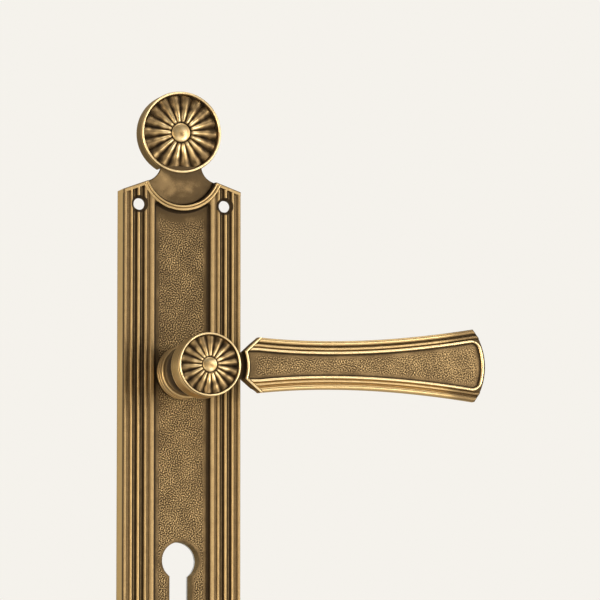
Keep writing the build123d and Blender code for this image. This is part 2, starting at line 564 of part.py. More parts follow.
with BuildPart() as lever_grip:
    with BuildSketch(grip_plane(grip_back)):
        with BuildLine():
            Spline(*grip_edge)
            Line(grip_edge[-1], (grip_end_x, grip_end_w))
            ThreePointArc((grip_end_x, grip_end_w), (grip_tip_x, 0), (grip_end_x, -grip_end_w))
            Line((grip_end_x, -grip_end_w), (grip_edge[-1][0], -grip_edge[-1][1]))
            Spline(*[(u, -w) for u, w in reversed(grip_edge)])
            Line((grip_edge[0][0], -grip_edge[0][1]), (grip_root_x, -grip_root_w))
            ThreePointArc((grip_root_x, -grip_root_w), (grip_root_mid_x, 0), (grip_root_x, grip_root_w))
            Line((grip_root_x, grip_root_w), grip_edge[0])
        make_face()
    extrude(amount=grip_front - grip_back)
    # bevels all round, but for the end that meets the neck at the back
    back_edges = lever_grip.edges().group_by(Axis.Y)[-1]
    chamfer(back_edges.sort_by(Axis.X)[1:], back_bevel)
    chamfer(lever_grip.edges().group_by(Axis.Y)[0], front_bevel)
    # sunk panel that follows the outline
    with BuildSketch(grip_plane(grip_front - grip_panel_sink)):
        inner_edge = [(u, w - border_width) for u, w in grip_edge]
        inner_edge[0] = panel_start
        inner_edge[-1] = panel_corner
        with BuildLine():
            Spline(*inner_edge)
            Line(panel_corner, panel_end)
            ThreePointArc(panel_end, (panel_tip_x, 0), (panel_end[0], -panel_end[1]))
            Line((panel_end[0], -panel_end[1]), (panel_corner[0], -panel_corner[1]))
            Spline(*[(u, -w) for u, w in reversed(inner_edge)])
            Polyline((panel_start[0], -panel_start[1]), (panel_root[0], -panel_root[1]), panel_root,
                     panel_start)
        make_face()
    extrude(amount=grip_panel_sink, mode=Mode.SUBTRACT)
    # two grooves along each border
    for near, far in border_grooves:
        with BuildSketch(grip_plane(grip_front - border_groove_depth)):
            for side in (1, -1):
                with BuildLine():
                    Spline(*[(u, side * (w - near)) for u, w in grip_edge])
                    Line((grip_edge[-1][0], side * (grip_edge[-1][1] - near)),
                         (grip_edge[-1][0], side * (grip_edge[-1][1] - far)))
                    Spline(*[(u, side * (w - far)) for u, w in reversed(grip_edge)])
                    Line((grip_edge[0][0], side * (grip_edge[0][1] - far)),
                         (grip_edge[0][0], side * (grip_edge[0][1] - near)))
                make_face()
        extrude(amount=border_groove_depth, mode=Mode.SUBTRACT)
    # socket for the hub's tenon, and the screw's hole from behind
    with BuildSketch(grip_plane(tenon_back - slide_gap)):
        with Locations(((arm_start + socket_end) / 2, 0)):
            Rectangle(socket_end - arm_start, 2 * (tenon_half + slide_gap))
    extrude(amount=tenon_front - tenon_back + 2 * slide_gap, mode=Mode.SUBTRACT)
    with BuildSketch(grip_plane(grip_back)):
        with Locations((grip_screw_x, 0)):
            Circle(grip_screw_head_r + fit_gap)
    with BuildSketch(grip_plane(grip_back + grip_screw_head_r - grip_screw_r)):
        with Locations((grip_screw_x, 0)):
            Circle(grip_screw_r + fit_gap)
    loft(mode=Mode.SUBTRACT)
    with BuildSketch(grip_plane(grip_back)):
        with Locations((grip_screw_x, 0)):
            Circle(grip_screw_r + fit_gap)
    extrude(amount=tenon_back - grip_back, mode=Mode.SUBTRACT)
lever_grip.part.label = "lever_grip"
export_step(lever_grip.part, "parts/lever_grip.step")

with BuildPart() as grip_screw:
    back_face = grip_plane(grip_back + fit_gap)
    head = Plane(origin=back_face.from_local_coords((grip_screw_x, 0, 0)), z_dir=back_face.z_dir)
    shank = head.offset(grip_screw_head_r - grip_screw_r)
    with BuildSketch(head):
        Circle(grip_screw_head_r - fit_gap)
    with BuildSketch(shank):
        Circle(grip_screw_r - fit_gap)
    loft()
    round_bar(shank, grip_screw_r, grip_screw_length)
    cross_slots(head, grip_screw_head_r)
grip_screw.part.label = "grip_screw"
export_step(grip_screw.part, "parts/grip_screw.step")

with BuildPart() as spindle:
    with BuildSketch(spindle_plane(spindle_in)):
        Rectangle(spindle_size, spindle_size)
    extrude(amount=-(spindle_in + spindle_out))
    chamfer(spindle.faces().sort_by(Axis.Y)[-1].edges(), spindle_chamfer)
spindle.part.label = "spindle"
export_step(spindle.part, "parts/spindle.step")

with BuildPart() as grub_screw:
    round_bar(Plane(origin=(0, -grub_depth, -grub_start), x_dir=(1, 0, 0), z_dir=(0, 0, -1)),
              grub_r, grub_length)
    end_z = -grub_start - grub_length
    with BuildSketch(Plane(origin=(0, -grub_depth, end_z), x_dir=(1, 0, 0), z_dir=(0, 0, 1))):
        RegularPolygon(grub_socket, 6)
    extrude(amount=grub_socket_depth, mode=Mode.SUBTRACT)
grub_screw.part.label = "grub_screw"
export_step(grub_screw.part, "parts/grub_screw.step")

with BuildPart() as end_shim:
    shim_back, shim_front = ring_front + fit_gap, back_plate_t - slide_gap
    turned([(shim_bore_r, shim_back), (shim_r, shim_back), (shim_r, shim_front), (shim_bore_r, shim_front)])
end_shim.part.label = "end_shim"
export_step(end_shim.part, "parts/end_shim.step")

with BuildPart() as retaining_ring:
    with BuildSketch(spindle_plane(ring_back + ring_play)):
        Circle(ring_outer_r)
        Circle(ring_groove_r + slide_gap, mode=Mode.SUBTRACT)
        with Locations((0, -ring_outer_r)):
            Rectangle(ring_gap, ring_outer_r, mode=Mode.SUBTRACT)
    extrude(amount=ring_front - ring_back - 2 * ring_play)
retaining_ring.part.label = "retaining_ring"
export_step(retaining_ring.part, "parts/retaining_ring.step")
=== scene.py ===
import json
import math

import bmesh
import bpy
import numpy as np
from mathutils import Matrix, Vector
from mathutils.geometry import delaunay_2d_cdt


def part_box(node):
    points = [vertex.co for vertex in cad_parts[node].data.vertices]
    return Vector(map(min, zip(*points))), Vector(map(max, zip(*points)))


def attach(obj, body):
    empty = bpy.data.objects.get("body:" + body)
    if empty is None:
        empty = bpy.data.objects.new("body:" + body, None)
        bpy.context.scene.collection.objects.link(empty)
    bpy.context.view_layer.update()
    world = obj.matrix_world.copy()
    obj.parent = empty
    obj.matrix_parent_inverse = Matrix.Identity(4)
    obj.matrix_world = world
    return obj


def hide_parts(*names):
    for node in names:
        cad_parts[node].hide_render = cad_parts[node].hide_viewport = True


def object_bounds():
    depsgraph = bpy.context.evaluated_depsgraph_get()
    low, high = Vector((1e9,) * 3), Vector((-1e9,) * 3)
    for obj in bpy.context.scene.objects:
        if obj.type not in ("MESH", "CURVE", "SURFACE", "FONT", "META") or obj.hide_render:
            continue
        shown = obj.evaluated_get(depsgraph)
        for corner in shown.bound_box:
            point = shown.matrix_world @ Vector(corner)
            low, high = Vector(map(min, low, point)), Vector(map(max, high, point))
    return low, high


# Looks of a lever handle on a tall ornamental plate. Lengths are in millimetres and are turned into metres when
# a mesh is made. "Depth" is the distance out from the door, along -Y. On the plate, v is the height above its
# middle. "Polish and shade" is how bright the brass is painted at a point, from 0 for dark patina to 1 for
# brass rubbed bright; in places it also holds painted shade and painted highlights.

MM = 0.001
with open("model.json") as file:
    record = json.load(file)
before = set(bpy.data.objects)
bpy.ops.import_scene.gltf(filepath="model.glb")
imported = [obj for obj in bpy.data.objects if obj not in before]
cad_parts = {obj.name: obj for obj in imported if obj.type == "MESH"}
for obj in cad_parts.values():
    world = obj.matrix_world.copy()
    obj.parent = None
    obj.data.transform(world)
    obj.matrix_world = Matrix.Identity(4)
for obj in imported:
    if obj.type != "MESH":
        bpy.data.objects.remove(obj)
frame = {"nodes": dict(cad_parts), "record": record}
cad_low, cad_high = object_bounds()


def box_mm(node):
    low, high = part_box(node)
    return np.array(low) / MM, np.array(high) / MM


plate_low, plate_high = box_mm("faceplate")
PLATE_MID = (plate_low[2] + plate_high[2]) / 2
PLATE_HALF = (plate_high[0] - plate_low[0]) / 2
PLATE_TOP = -plate_low[1]
HUB_V = -PLATE_MID
CREST_LOW, CREST_HIGH = box_mm("upper_rosette")
CREST_R = (CREST_HIGH[0] - CREST_LOW[0]) / 2
CREST_V = (CREST_HIGH[2] + CREST_LOW[2]) / 2 - PLATE_MID

# ---- plate outline and its features ----
CORNER_V = 125.7
SHOULDER = (15.5, 130.1)
WAIST = (9.6, 136.9)
SHOULDER_BEND = (11.4, 132.7)
RIM_V, RIM_IN, RIM_OUT = 135.7, 16.6, 19.5
NECK_DEPTH, FLOOR_DEPTH, INNER_DEPTH, REBATE_DEPTH = 8.5, 9.3, 7.2, 2.05
NECK_LEAN = 2.0  # how far the neck's side walls lean in towards the back
BAND_DEPTH = PLATE_TOP - 0.08  # plain band along the outline
SHOULDER_BAND = 1.9
EDGE_ROUND = 0.55
PANEL_X, PANEL_CORNER = 13.0, 2.1
COVE, COVE_RISE, WALL_TOP = 1.1, 1.9, 11.2  # the panel's wall
RIM_BEADS, BEAD_FOOT = [(17.35, 0.7, 11.95), (18.8, 0.72, 12.0)], 11.3  # radius, half width, crest depth
FIELD_X, FIELD_RHO = 11.6, 20.9  # where the border casting ends and the stippled panel begins
REBATE_X, REBATE_V, REBATE_R = 25.5, 123.6, 4.0
CAVITY_X, CAVITY_V = 22.5, 114.0
POCKET_IN, POCKET_OUT, POCKET_LOW, POCKET_HIGH, POCKET_DEPTH, POCKET_CUT = 13.5, 25.0, 112.0, 123.55, 8.8, 2
HOLE_X, HOLE_V, HOLE_R, SINK_R = 20.0, 119.0, 2.7, 3.95
PAD_R, PAD_DEPTH, PAD_BORE_R, PAD_TONGUE, PAD_FOOT = 16.2, 6.5, 3.9, 7.2, 16.4
KEY_V, KEY_R, KEY_SLOT_R, KEY_HEIGHT, KEY_WALL = -42.5, 8.6, 5.1, 33.0, 3.0
STIPPLE_RELIEF = 0.13
# reeds across each border: inner edge, outer edge, crest depth, polish
REEDS = [(13.0, 15.26, 12.0, 0.57), (16.4, 17.8, 11.85, 0.58), (19.75, 21.13, 11.85, 0.63),
         (23.15, 24.35, 11.85, 0.64), (25.95, 27.5, 12.0, 0.57)]
# grooves between them: inner edge, outer edge, floor depth, polish in the middle and at the sides
GROOVES = [(15.26, 16.4, 11.0, 0.38, 0.28), (17.8, 19.75, 10.25, 0.33, 0.06),
           (21.13, 23.15, 10.25, 0.33, 0.06), (24.35, 25.95, 10.95, 0.36, 0.28)]
REED_ROOT, NARROW_REED = 11.15, 1.5
# the plate's outer wall, from front to back: share of the depth, polish
SIDE_WALL = [(0.972, 0.2), (0.955, 0.5), (0.8, 0.75), (0.5, 0.72), (0.12, 0.68), (0.03, 0.5), (0, 0.4)]

# ---- the plate's mesh: half height of its plain rows, cells in each part, and the square round each hole ----
BODY_TOP, BODY_ROWS, GAP_ROWS, PANEL_END_ROWS, RIM_ROWS, OUTER_ROWS = 112.0, 14, 5, 17, 30, 40
SQUARE_X, SQUARE_V, SQUARE_COLUMNS, SQUARE_ROWS = 4.41, 4.4, 30, 20
OPENING = BODY_ROWS + GAP_ROWS + PANEL_END_ROWS  # row on the panel's end


# ------------------------------------------------------------------ small maths

def smooth(t):
    t = np.clip(t, 0, 1)
    return t * t * (3 - 2 * t)


def ease(value, start, run):
    """Rises from 0 to 1 as the value goes on from start by run."""
    return smooth((value - start) / run)


def mix(a, b, t):
    return a + (b - a) * t


def across(value, a, b):
    """Place in a strip from a to b: -1 at a, 0 in its middle, 1 at b."""
    return (value - (a + b) / 2) / ((b - a) / 2)


def half_round(t):
    return np.sqrt(np.clip(1 - np.clip(t, -1, 1) ** 2, 0, 1))


def chord(radius, x):
    """Half height of a circle at x from its middle."""
    return np.sqrt(np.clip(radius**2 - x**2, 0, None))


def round_corner(a, b, radius):
    """Distance past two sides that meet in a rounded corner, from the distances past each."""
    a, b = a + radius, b + radius
    return np.minimum(np.maximum(a, b), 0) + np.hypot(np.maximum(a, 0), np.maximum(b, 0)) - radius


def cove(distance, run):
    """Hollow curve up a wall, 1 at its top, where the distance past it is 0 or more."""
    return 1 - np.sqrt(1 - np.clip(1 + distance / run, 0, 1) ** 2)


def rounding(distance, radius):
    """How far an edge of this radius has dropped at a distance in from it."""
    t = np.clip(1 - distance / radius, 0, 1)
    return radius * (1 - np.sqrt(1 - t * t))


def circle_through(a, b, c):
    """Centre and radius of the circle through three points."""
    (ax, ay), (bx, by), (cx, cy) = a, b, c
    d = 2 * (ax * (by - cy) + bx * (cy - ay) + cx * (ay - by))
    a2, b2, c2 = ax * ax + ay * ay, bx * bx + by * by, cx * cx + cy * cy
    ux = (a2 * (by - cy) + b2 * (cy - ay) + c2 * (ay - by)) / d
    uy = (a2 * (cx - bx) + b2 * (ax - cx) + c2 * (bx - ax)) / d
    return ux, uy, math.hypot(ax - ux, ay - uy)


class Grain:
    """Seamless random relief with features of about one size, sampled anywhere, with a spread of about 1."""

    def __init__(self, seed, size_mm, cell=0.16, cells=512):
        white = np.random.default_rng(seed).standard_normal((cells, cells))
        f = np.fft.fftfreq(cells, cell)
        reach = np.hypot(*np.meshgrid(f, f)) * size_mm
        band = np.exp(-(reach / 0.8) ** 4) * (1 - np.exp(-(reach / 0.42) ** 4))
        field = np.fft.ifft2(np.fft.fft2(white) * band).real
        self.field, self.cell, self.cells = field / field.std(), cell, cells

    def at(self, x, y):
        fx, fy = x / self.cell, y / self.cell
        ix, iy = np.floor(fx).astype(int), np.floor(fy).astype(int)
        tx, ty = fx - ix, fy - iy
        n, f = self.cells, self.field
        low = mix(f[iy % n, ix % n], f[iy % n, (ix + 1) % n], tx)
        high = mix(f[(iy + 1) % n, ix % n], f[(iy + 1) % n, (ix + 1) % n], tx)
        return mix(low, high, ty)


stipple = Grain(11, 0.54, cell=0.09, cells=1024)
mottle = Grain(5, 7.0, cell=0.6)
patches = Grain(7, 2.4, cell=0.3)


# ------------------------------------------------------------------ meshes

class Casting:
    """Patches of a surface in millimetres, welded into one mesh. Every point carries its polish and painted
    shade.
    """

    def __init__(self):
        self.points, self.polish, self.faces, self.count = [], [], [], 0

    def add(self, points, polish):
        points = np.asarray(points, float).reshape(-1, 3)
        first = self.count
        self.points.append(points)
        self.polish.append(np.broadcast_to(np.asarray(polish, float).reshape(-1), (len(points),)))
        self.count += len(points)
        return first

    def grid(self, points, polish, keep=None, wrap=False):
        """A sheet of n by m points. wrap joins the last row to the first."""
        n, m = points.shape[:2]
        polish = np.broadcast_to(polish, (n, m))
        ids = self.add(points, polish) + np.arange(n * m).reshape(n, m)
        a, b = (ids, np.roll(ids, -1, 0)) if wrap else (ids[:-1], ids[1:])
        quads = np.stack([a[:, :-1], b[:, :-1], b[:, 1:], a[:, 1:]], -1)
        self.faces.append(quads[keep] if keep is not None else quads.reshape(-1, 4))

    def wall(self, rings, polish):
        """Joins loops of points, each with as many points as the last."""
        rings = np.asarray(rings, float)
        polish = np.broadcast_to(np.asarray(polish, float).reshape(len(rings), -1), rings.shape[:2])
        self.grid(np.swapaxes(rings, 0, 1), polish.T, wrap=True)

    def cap(self, loops, depth, polish, plane_to_row, inside):
        """Flat face bounded by loops of (a, b) points, kept where inside() is true of a triangle's middle."""
        flat = np.concatenate(loops)
        edges, start = [], 0
        for loop in loops:
            n = len(loop)
            edges += [(start + i, start + (i + 1) % n) for i in range(n)]
            start += n
        made = delaunay_2d_cdt([Vector(p) for p in flat], edges, [], 0, 1e-6)
        points = np.array([tuple(p) for p in made[0]])
        triangles = np.array(made[2])
        middle = points[triangles].mean(1)
        triangles = triangles[inside(middle[:, 0], middle[:, 1])]
        first = self.add(plane_to_row(points[:, 0], points[:, 1], np.full(len(points), float(depth))), polish)
        self.faces.append(triangles + first)

    def build(self, name, node, body, crease=38):
        points = np.concatenate(self.points)
        polish = np.concatenate(self.polish)
        _, first, index = np.unique(np.round(points, 4), axis=0, return_index=True, return_inverse=True)
        index = index.reshape(-1)
        faces = []
        for group in self.faces:
            for face in index[group].tolist():
                ring = [p for i, p in enumerate(face) if p != face[i - 1]]
                if len(set(ring)) == len(ring) > 2:
                    faces.append(ring)
        mesh = bpy.data.meshes.new(name)
        mesh.from_pydata((points[first] * MM).tolist(), [], faces)
        attribute = mesh.attributes.new("polish", "FLOAT", "POINT")
        attribute.data.foreach_set("value", np.clip(polish[first], 0, 1).astype(np.float32))
        mesh.validate()
        bm = bmesh.new()
        bm.from_mesh(mesh)
        loose = [v for v in bm.verts if not v.link_faces]
        bmesh.ops.delete(bm, geom=loose, context="VERTS")
        bmesh.ops.recalc_face_normals(bm, faces=bm.faces)
        bm.to_mesh(mesh)
        bm.free()
        mesh.shade_smooth()
        mesh.set_sharp_from_angle(angle=math.radians(crease))
        mesh.materials.append(brass)
        piece = bpy.data.objects.new(name, mesh)
        bpy.context.scene.collection.objects.link(piece)
        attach(piece, body)
        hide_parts(node)


def edge_loops(faces):
    """Closed loops of point indices along the open edges of a sheet of quads."""
    edges = np.concatenate([faces[:, [i, (i + 1) % 4]] for i in range(4)])
    key = np.sort(edges, 1)
    _, first, count = np.unique(key, axis=0, return_index=True, return_counts=True)
    follows = dict(edges[first[count == 1]].tolist())
    loops = []
    while follows:
        start, at = follows.popitem()
        loop = [start]
        while at != start:
            loop.append(at)
            at = follows.pop(at)
        loops.append(np.array(loop))
    return loops


def inside_loop(loop, a, b):
    """True for each point (a, b) inside a closed loop of points."""
    x0, y0 = loop[:, 0], loop[:, 1]
    x1, y1 = np.roll(x0, -1), np.roll(y0, -1)
    a, b = a[:, None], b[:, None]
    crosses = (y0 > b) != (y1 > b)
    with np.errstate(divide="ignore", invalid="ignore"):
        at = x0 + (b - y0) * (x1 - x0) / (y1 - y0)
    return (np.sum(crosses & (a < at), 1) % 2) == 1


def between(outer, inner):
    """Test that a point (a, b) is inside the outer loop and outside every inner one."""
    return lambda a, b: inside_loop(outer, a, b) & ~np.any([inside_loop(i, a, b) for i in inner] or [False], 0)


def plate_to_row(x, v, depth):
    return np.stack(np.broadcast_arrays(x, -np.asarray(depth), np.asarray(v) + PLATE_MID), -1)


def upright(casting, loop, depths, polish):
    """Wall square to the door along a loop of (x, v) points, between two depths."""
    casting.wall([plate_to_row(loop[:, 0], loop[:, 1], d) for d in depths], [polish, polish])


def spaced(*stretches):
    """Rising values along stretches, each (from, to, number of steps)."""
    parts = [np.linspace(a, b, n, endpoint=False) for a, b, n in stretches]
    return np.concatenate(parts + [[stretches[-1][1]]])


# ------------------------------------------------------------------ the plate

BEND_X, BEND_V, BEND_R = circle_through(SHOULDER, SHOULDER_BEND, WAIST)
SLOPE = (SHOULDER[1] - CORNER_V) / (PLATE_HALF - SHOULDER[0])
FAR = 99.0


def plate_top(ax):
    """Half length of the plate at a distance from its centre line."""
    straight = CORNER_V + SLOPE * (PLATE_HALF - ax)
    top = np.where(ax > SHOULDER[0], straight, BEND_V - chord(BEND_R, ax - BEND_X))
    return np.where(ax <= WAIST[0], WAIST[1], np.minimum(top, WAIST[1]))


def slope_distance(ax, av):
    """Distance in from the sloping shoulder."""
    return (CORNER_V + SLOPE * (PLATE_HALF - ax) - av) / math.hypot(1, SLOPE)


def plate_edge(ax, av):
    """Distance in from the plate's outline."""
    bend = np.abs(np.hypot(ax - BEND_X, av - BEND_V) - BEND_R)
    near_bend = (ax < SHOULDER[0] + 1.5) & (av > SHOULDER[1] - 4)
    end = np.where(ax > SHOULDER[0], slope_distance(ax, av), FAR)
    return np.minimum(np.minimum(PLATE_HALF - ax, end), np.where(near_bend, bend, FAR))


def reeds(ax):
    """Depth and polish across a border: bright crests and brown grooves, the deep ones with black sides."""
    depth, polish = np.full(ax.shape, REED_ROOT), np.full(ax.shape, 0.2)
    for a, b, floor, middle, side in GROOVES:
        t = np.abs(across(ax, a, b))
        here = (ax >= a) & (ax < b)
        depth = np.where(here, mix(floor, REED_ROOT, t**3), depth)
        polish = np.where(here, mix(middle, side, ease(t, 0.15, 0.25)) + 0.15 * t**6, polish)
    for a, b, crest, shine in REEDS:
        t = np.abs(np.clip(across(ax, a, b), -1, 1))
        here = (ax >= a) & (ax <= b)
        square = 2.6 if b - a < NARROW_REED else 6.0
        depth = np.where(here, mix(REED_ROOT, crest, (1 - t**square) ** 0.6), depth)
        polish = np.where(here, mix(shine, 0.3, t**4), polish)
    return depth, polish


def neck_surface(x, v, rho, hidden):
    """Depth and brightness of the neck: crowned, darker towards the rim as painted shading of its crown, darker
    under the rosette with patina and painted shade, lit on its left by a painted highlight, with a dark line
    along the rim.
    """
    crown = 0.9 * (1 - (rho / RIM_IN) ** 2) - 0.3 * ease(rho, 15.9, 0.7)
    # painted shading of the crown: darker towards the rim
    polish = mix(0.44, 0.24, ease(rho, 5.0, 10.0)) * mix(1, 0.2, ease(rho, 15.6, 0.8))
    polish = polish + 0.02 * patches.at(x * 0.7, v)
    # painted shade below the rosette, over its patina, in a narrower band on the left
    under = ease(hidden, CREST_R, np.interp(x, (-9.5, -3.0), (3.0, 7.5)))
    # painted highlight on the left of the neck, and darker on its right
    polish = polish * mix(0.4, 1.0, under) * np.interp(x, (-9.5, -2.5, 9.5), (1.55, 0.97, 0.85))
    return NECK_DEPTH + crown, polish


def border_surface(x, v):
    """Depth and polish of the plate's front outside the stippled panel."""
    ax, av = np.abs(x), np.abs(v)
    rho = np.hypot(ax, av - RIM_V)
    edge = plate_edge(ax, av)
    depth, polish = reeds(ax)
    # plain band along the sloping shoulder
    band = smooth((SHOULDER_BAND - slope_distance(ax, av)) / 0.3)
    depth = np.where(ax > PANEL_X, mix(depth, BAND_DEPTH, band), 11.5)
    polish = mix(polish, 0.62, band)
    # countersink of the fixing hole, which cuts the reeds
    r = np.hypot(ax - HOLE_X, av - HOLE_V)
    in_sink = r <= SINK_R
    depth = np.where(in_sink, np.minimum(depth, PLATE_TOP - 0.1 - (SINK_R - r)), depth)
    # rim round the neck: two beads side by side
    rim = np.max([mix(BEAD_FOOT, crest, half_round((rho - at) / half)) for at, half, crest in RIM_BEADS], 0)
    inner = rho < RIM_BEADS[0][0]
    rim = np.where(inner, rim - 3.2 * smooth((17.0 - rho) / 0.35), rim)
    on_rim = (rho >= RIM_IN) & (rho <= RIM_OUT)
    depth = np.where(on_rim, mix(BAND_DEPTH, rim, np.where(inner, 1, ease(edge, 0.4, 1.2))), depth)
    # the panel's wall, whose foot is painted dark with shade, over a wider strip on the left
    p = round_corner(ax - PANEL_X, RIM_OUT - rho, PANEL_CORNER)
    depth = np.where(p < 0, np.minimum(FLOOR_DEPTH + COVE_RISE * cove(p, COVE), WALL_TOP), depth)
    polish = np.where(on_rim, 0.74 * ease(depth, WALL_TOP, 0.7), polish)
    foot = np.where(x < 0, ease(-p, 1.0, 0.4), ease(-p, 0.7, 0.7))
    polish = np.where(p < 0.25, 0.03 + 0.25 * foot, polish)
    # the countersink is painted dark for its patina and for the shade in it
    polish = np.where(in_sink, 0.06, polish)
    neck_depth, neck_polish = neck_surface(x, v, rho, np.hypot(ax, av - CREST_V))
    depth = np.where(rho < RIM_IN, neck_depth, depth) - rounding(edge, EDGE_ROUND)
    polish = np.where(rho < RIM_IN, neck_polish, polish) * mix(0.3, 1, ease(edge, 0.15, 0.3))
    return depth, polish


def plate_rows(ax):
    """Heights v of the mesh's rows above the plate's middle, for columns at ax. They bend with the outline."""
    column = spaced((0, BODY_TOP, BODY_ROWS), (BODY_TOP, HOLE_V - SQUARE_V, GAP_ROWS),
                    (HOLE_V - SQUARE_V, HOLE_V + SQUARE_V, 2 * SQUARE_ROWS))
    top = plate_top(ax)[:, None]
    outer = np.concatenate([np.broadcast_to(column, (len(ax), len(column))),
                            mix(column[-1], top, spaced((0, 1, OUTER_ROWS))[1:])], 1)
    # columns of the panel: a row on the panel's end, then rows over the rim, the rest over the neck
    arc = RIM_V - chord(FIELD_RHO, ax)[:, None]
    neck = np.minimum(RIM_V - chord(16.0, ax)[:, None], top - 1.2)
    inner = np.zeros(outer.shape)
    inner[:, :BODY_ROWS] = column[:BODY_ROWS]
    inner[:, BODY_ROWS:OPENING + 1] = mix(BODY_TOP, arc, np.linspace(0, 1, OPENING - BODY_ROWS + 1))
    past_rim = OPENING + RIM_ROWS
    inner[:, OPENING:past_rim + 1] = mix(arc, neck, np.linspace(0, 1, RIM_ROWS + 1))
    inner[:, past_rim:] = mix(neck, top, np.linspace(0, 1, outer.shape[1] - past_rim))
    return mix(inner, outer, ease(ax, FIELD_X, HOLE_X - SQUARE_X - FIELD_X)[:, None])


def plate_frame():
    square_in, square_out = HOLE_X - SQUARE_X, HOLE_X + SQUARE_X
    half = spaced((0, 9.3, 31), (9.3, FIELD_X, 26), (FIELD_X, 13.4, 16), (13.4, square_in, 15),
                  (square_in, square_out, 2 * SQUARE_COLUMNS), (square_out, 26.9, 17), (26.9, PLATE_HALF, 9))
    xs = np.concatenate([-half[:0:-1], half])
    rows = plate_rows(np.abs(xs))
    v = np.concatenate([-rows[:, :0:-1], rows], 1)
    x = np.broadcast_to(xs[:, None], v.shape).copy()
    # square rings of the mesh become round ones about each fixing hole
    middle_row = rows.shape[1] - 1
    hole_row = BODY_ROWS + GAP_ROWS + SQUARE_ROWS
    hole_column = int(np.argmin(np.abs(half - HOLE_X)))
    p, q = np.meshgrid(np.arange(-SQUARE_COLUMNS, SQUARE_COLUMNS + 1) / SQUARE_COLUMNS,
                       np.arange(-SQUARE_ROWS, SQUARE_ROWS + 1) / SQUARE_ROWS, indexing="ij")
    ring = np.maximum(np.abs(p), np.abs(q))
    angle = np.arctan2(q, p)
    radius = HOLE_R + (ring - 0.5) / 0.5 * (SQUARE_V - HOLE_R)
    square = ease(ring, 0.7, 0.3)
    open_cells = np.zeros((len(xs) - 1, v.shape[1] - 1), bool)

    def about(centre, reach):
        return slice(centre - reach, centre + reach)

    for side in (-1, 1):
        for end in (-1, 1):
            ci, cj = len(half) - 1 + side * hole_column, middle_row + end * hole_row
            block = (slice(ci - SQUARE_COLUMNS, ci + SQUARE_COLUMNS + 1),
                     slice(cj - SQUARE_ROWS, cj + SQUARE_ROWS + 1))
            x[block] = side * HOLE_X + mix(radius * np.cos(angle), p * SQUARE_X, square)
            v[block] = end * HOLE_V + mix(radius * np.sin(angle), q * SQUARE_V, square)
            open_cells[about(ci, SQUARE_COLUMNS // 2), about(cj, SQUARE_ROWS // 2)] = True
    in_field = np.flatnonzero(np.abs((xs[:-1] + xs[1:]) / 2) < FIELD_X)
    open_cells[in_field, about(middle_row, OPENING)] = True
    depth, polish = border_surface(x, v)
    casting = Casting()
    casting.grid(plate_to_row(x, v, depth), polish, keep=~open_cells)
    holes = []
    for loop in edge_loops(casting.faces[0]):
        lx, lv, ld, start = (values.ravel()[loop] for values in (x, v, depth, polish))
        if np.abs(lx).max() > PLATE_HALF - 0.1:
            at_neck = ease(np.abs(lv), SHOULDER[1] + 0.5, 2.0)
            lean = 1 - at_neck * NECK_LEAN / WAIST[0]
            rings, wall_wear_and_shade = [plate_to_row(lx, lv, ld)], [start]
            for share, shine in SIDE_WALL:
                rings.append(plate_to_row(lx * mix(lean, 1, share), lv, ld * share))
                # the neck's side walls are painted darker: painted shade
                wall_wear_and_shade.append(shine * (1 - 0.8 * at_neck))
            casting.wall(rings, np.stack(wall_wear_and_shade))
            outline = np.stack([lx * lean, lv], 1)
            continue
        end = INNER_DEPTH if np.abs(lx).max() < PANEL_X else POCKET_DEPTH
        rings = [plate_to_row(lx, lv, mix(ld, end, s)) for s in (0, 0.15, 1)]
        dull = np.full(len(loop), 0.12)
        casting.wall(rings, np.stack([start, dull, dull]))
        holes.append((np.stack([lx, lv], 1), end))
    hollow_back(casting, outline, holes)
    for end in (1, -1):
        add_pad(casting, end)
    casting.build("faceplate_casting", "faceplate", "plate")


def hollow_back(casting, outline, holes):
    """Rebate for the back plate, cavity behind the panel and pocket behind each fixing hole."""
    turn = np.radians(np.arange(0, 91, 15))
    corner = np.stack([REBATE_X - REBATE_R + REBATE_R * np.cos(turn),
                       REBATE_V - REBATE_R + REBATE_R * np.sin(turn)], 1)
    rebate = np.concatenate([corner, corner[::-1] * [-1, 1], -corner, corner[::-1] * [1, -1]])
    # the cavity's outline runs round the pockets too
    quarter = np.array([(CAVITY_X, 0), (CAVITY_X, POCKET_LOW), (POCKET_OUT, POCKET_LOW),
                        (POCKET_OUT, POCKET_HIGH - POCKET_CUT), (POCKET_OUT - POCKET_CUT, POCKET_HIGH),
                        (POCKET_IN, POCKET_HIGH), (POCKET_IN, CAVITY_V), (0, CAVITY_V)])
    mirrored = quarter[::-1][1:] * [-1, 1]
    cavity = np.concatenate([quarter, mirrored, -quarter[1:], -mirrored[1:-1]])
    pockets = []
    for sx, sv in ((1, 1), (-1, 1), (-1, -1), (1, -1)):
        pocket = quarter[[1, 2, 3, 4, 5]] * [sx, sv]
        pockets.append(np.vstack([pocket, [[sx * POCKET_IN, sv * POCKET_LOW]]]))

    def flat(outer, inner, depth, polish):
        casting.cap([outer, *inner], depth, polish, plate_to_row, between(outer, inner))

    upright(casting, rebate, (0, REBATE_DEPTH), 0.3)
    upright(casting, cavity, (REBATE_DEPTH, INNER_DEPTH), 0.2)
    flat(outline, [rebate], 0, 0.4)
    flat(rebate, [cavity], REBATE_DEPTH, 0.25)
    flat(cavity, [*pockets, *[loop for loop, end in holes if end == INNER_DEPTH]], INNER_DEPTH, 0.2)
    for pocket in pockets:
        middle = pocket.mean(0)
        hole = min((loop for loop, end in holes if end == POCKET_DEPTH),
                   key=lambda h: np.hypot(*(h.mean(0) - middle)))
        upright(casting, pocket, (INNER_DEPTH, POCKET_DEPTH), 0.2)
        flat(pocket, [hole], POCKET_DEPTH, 0.15)


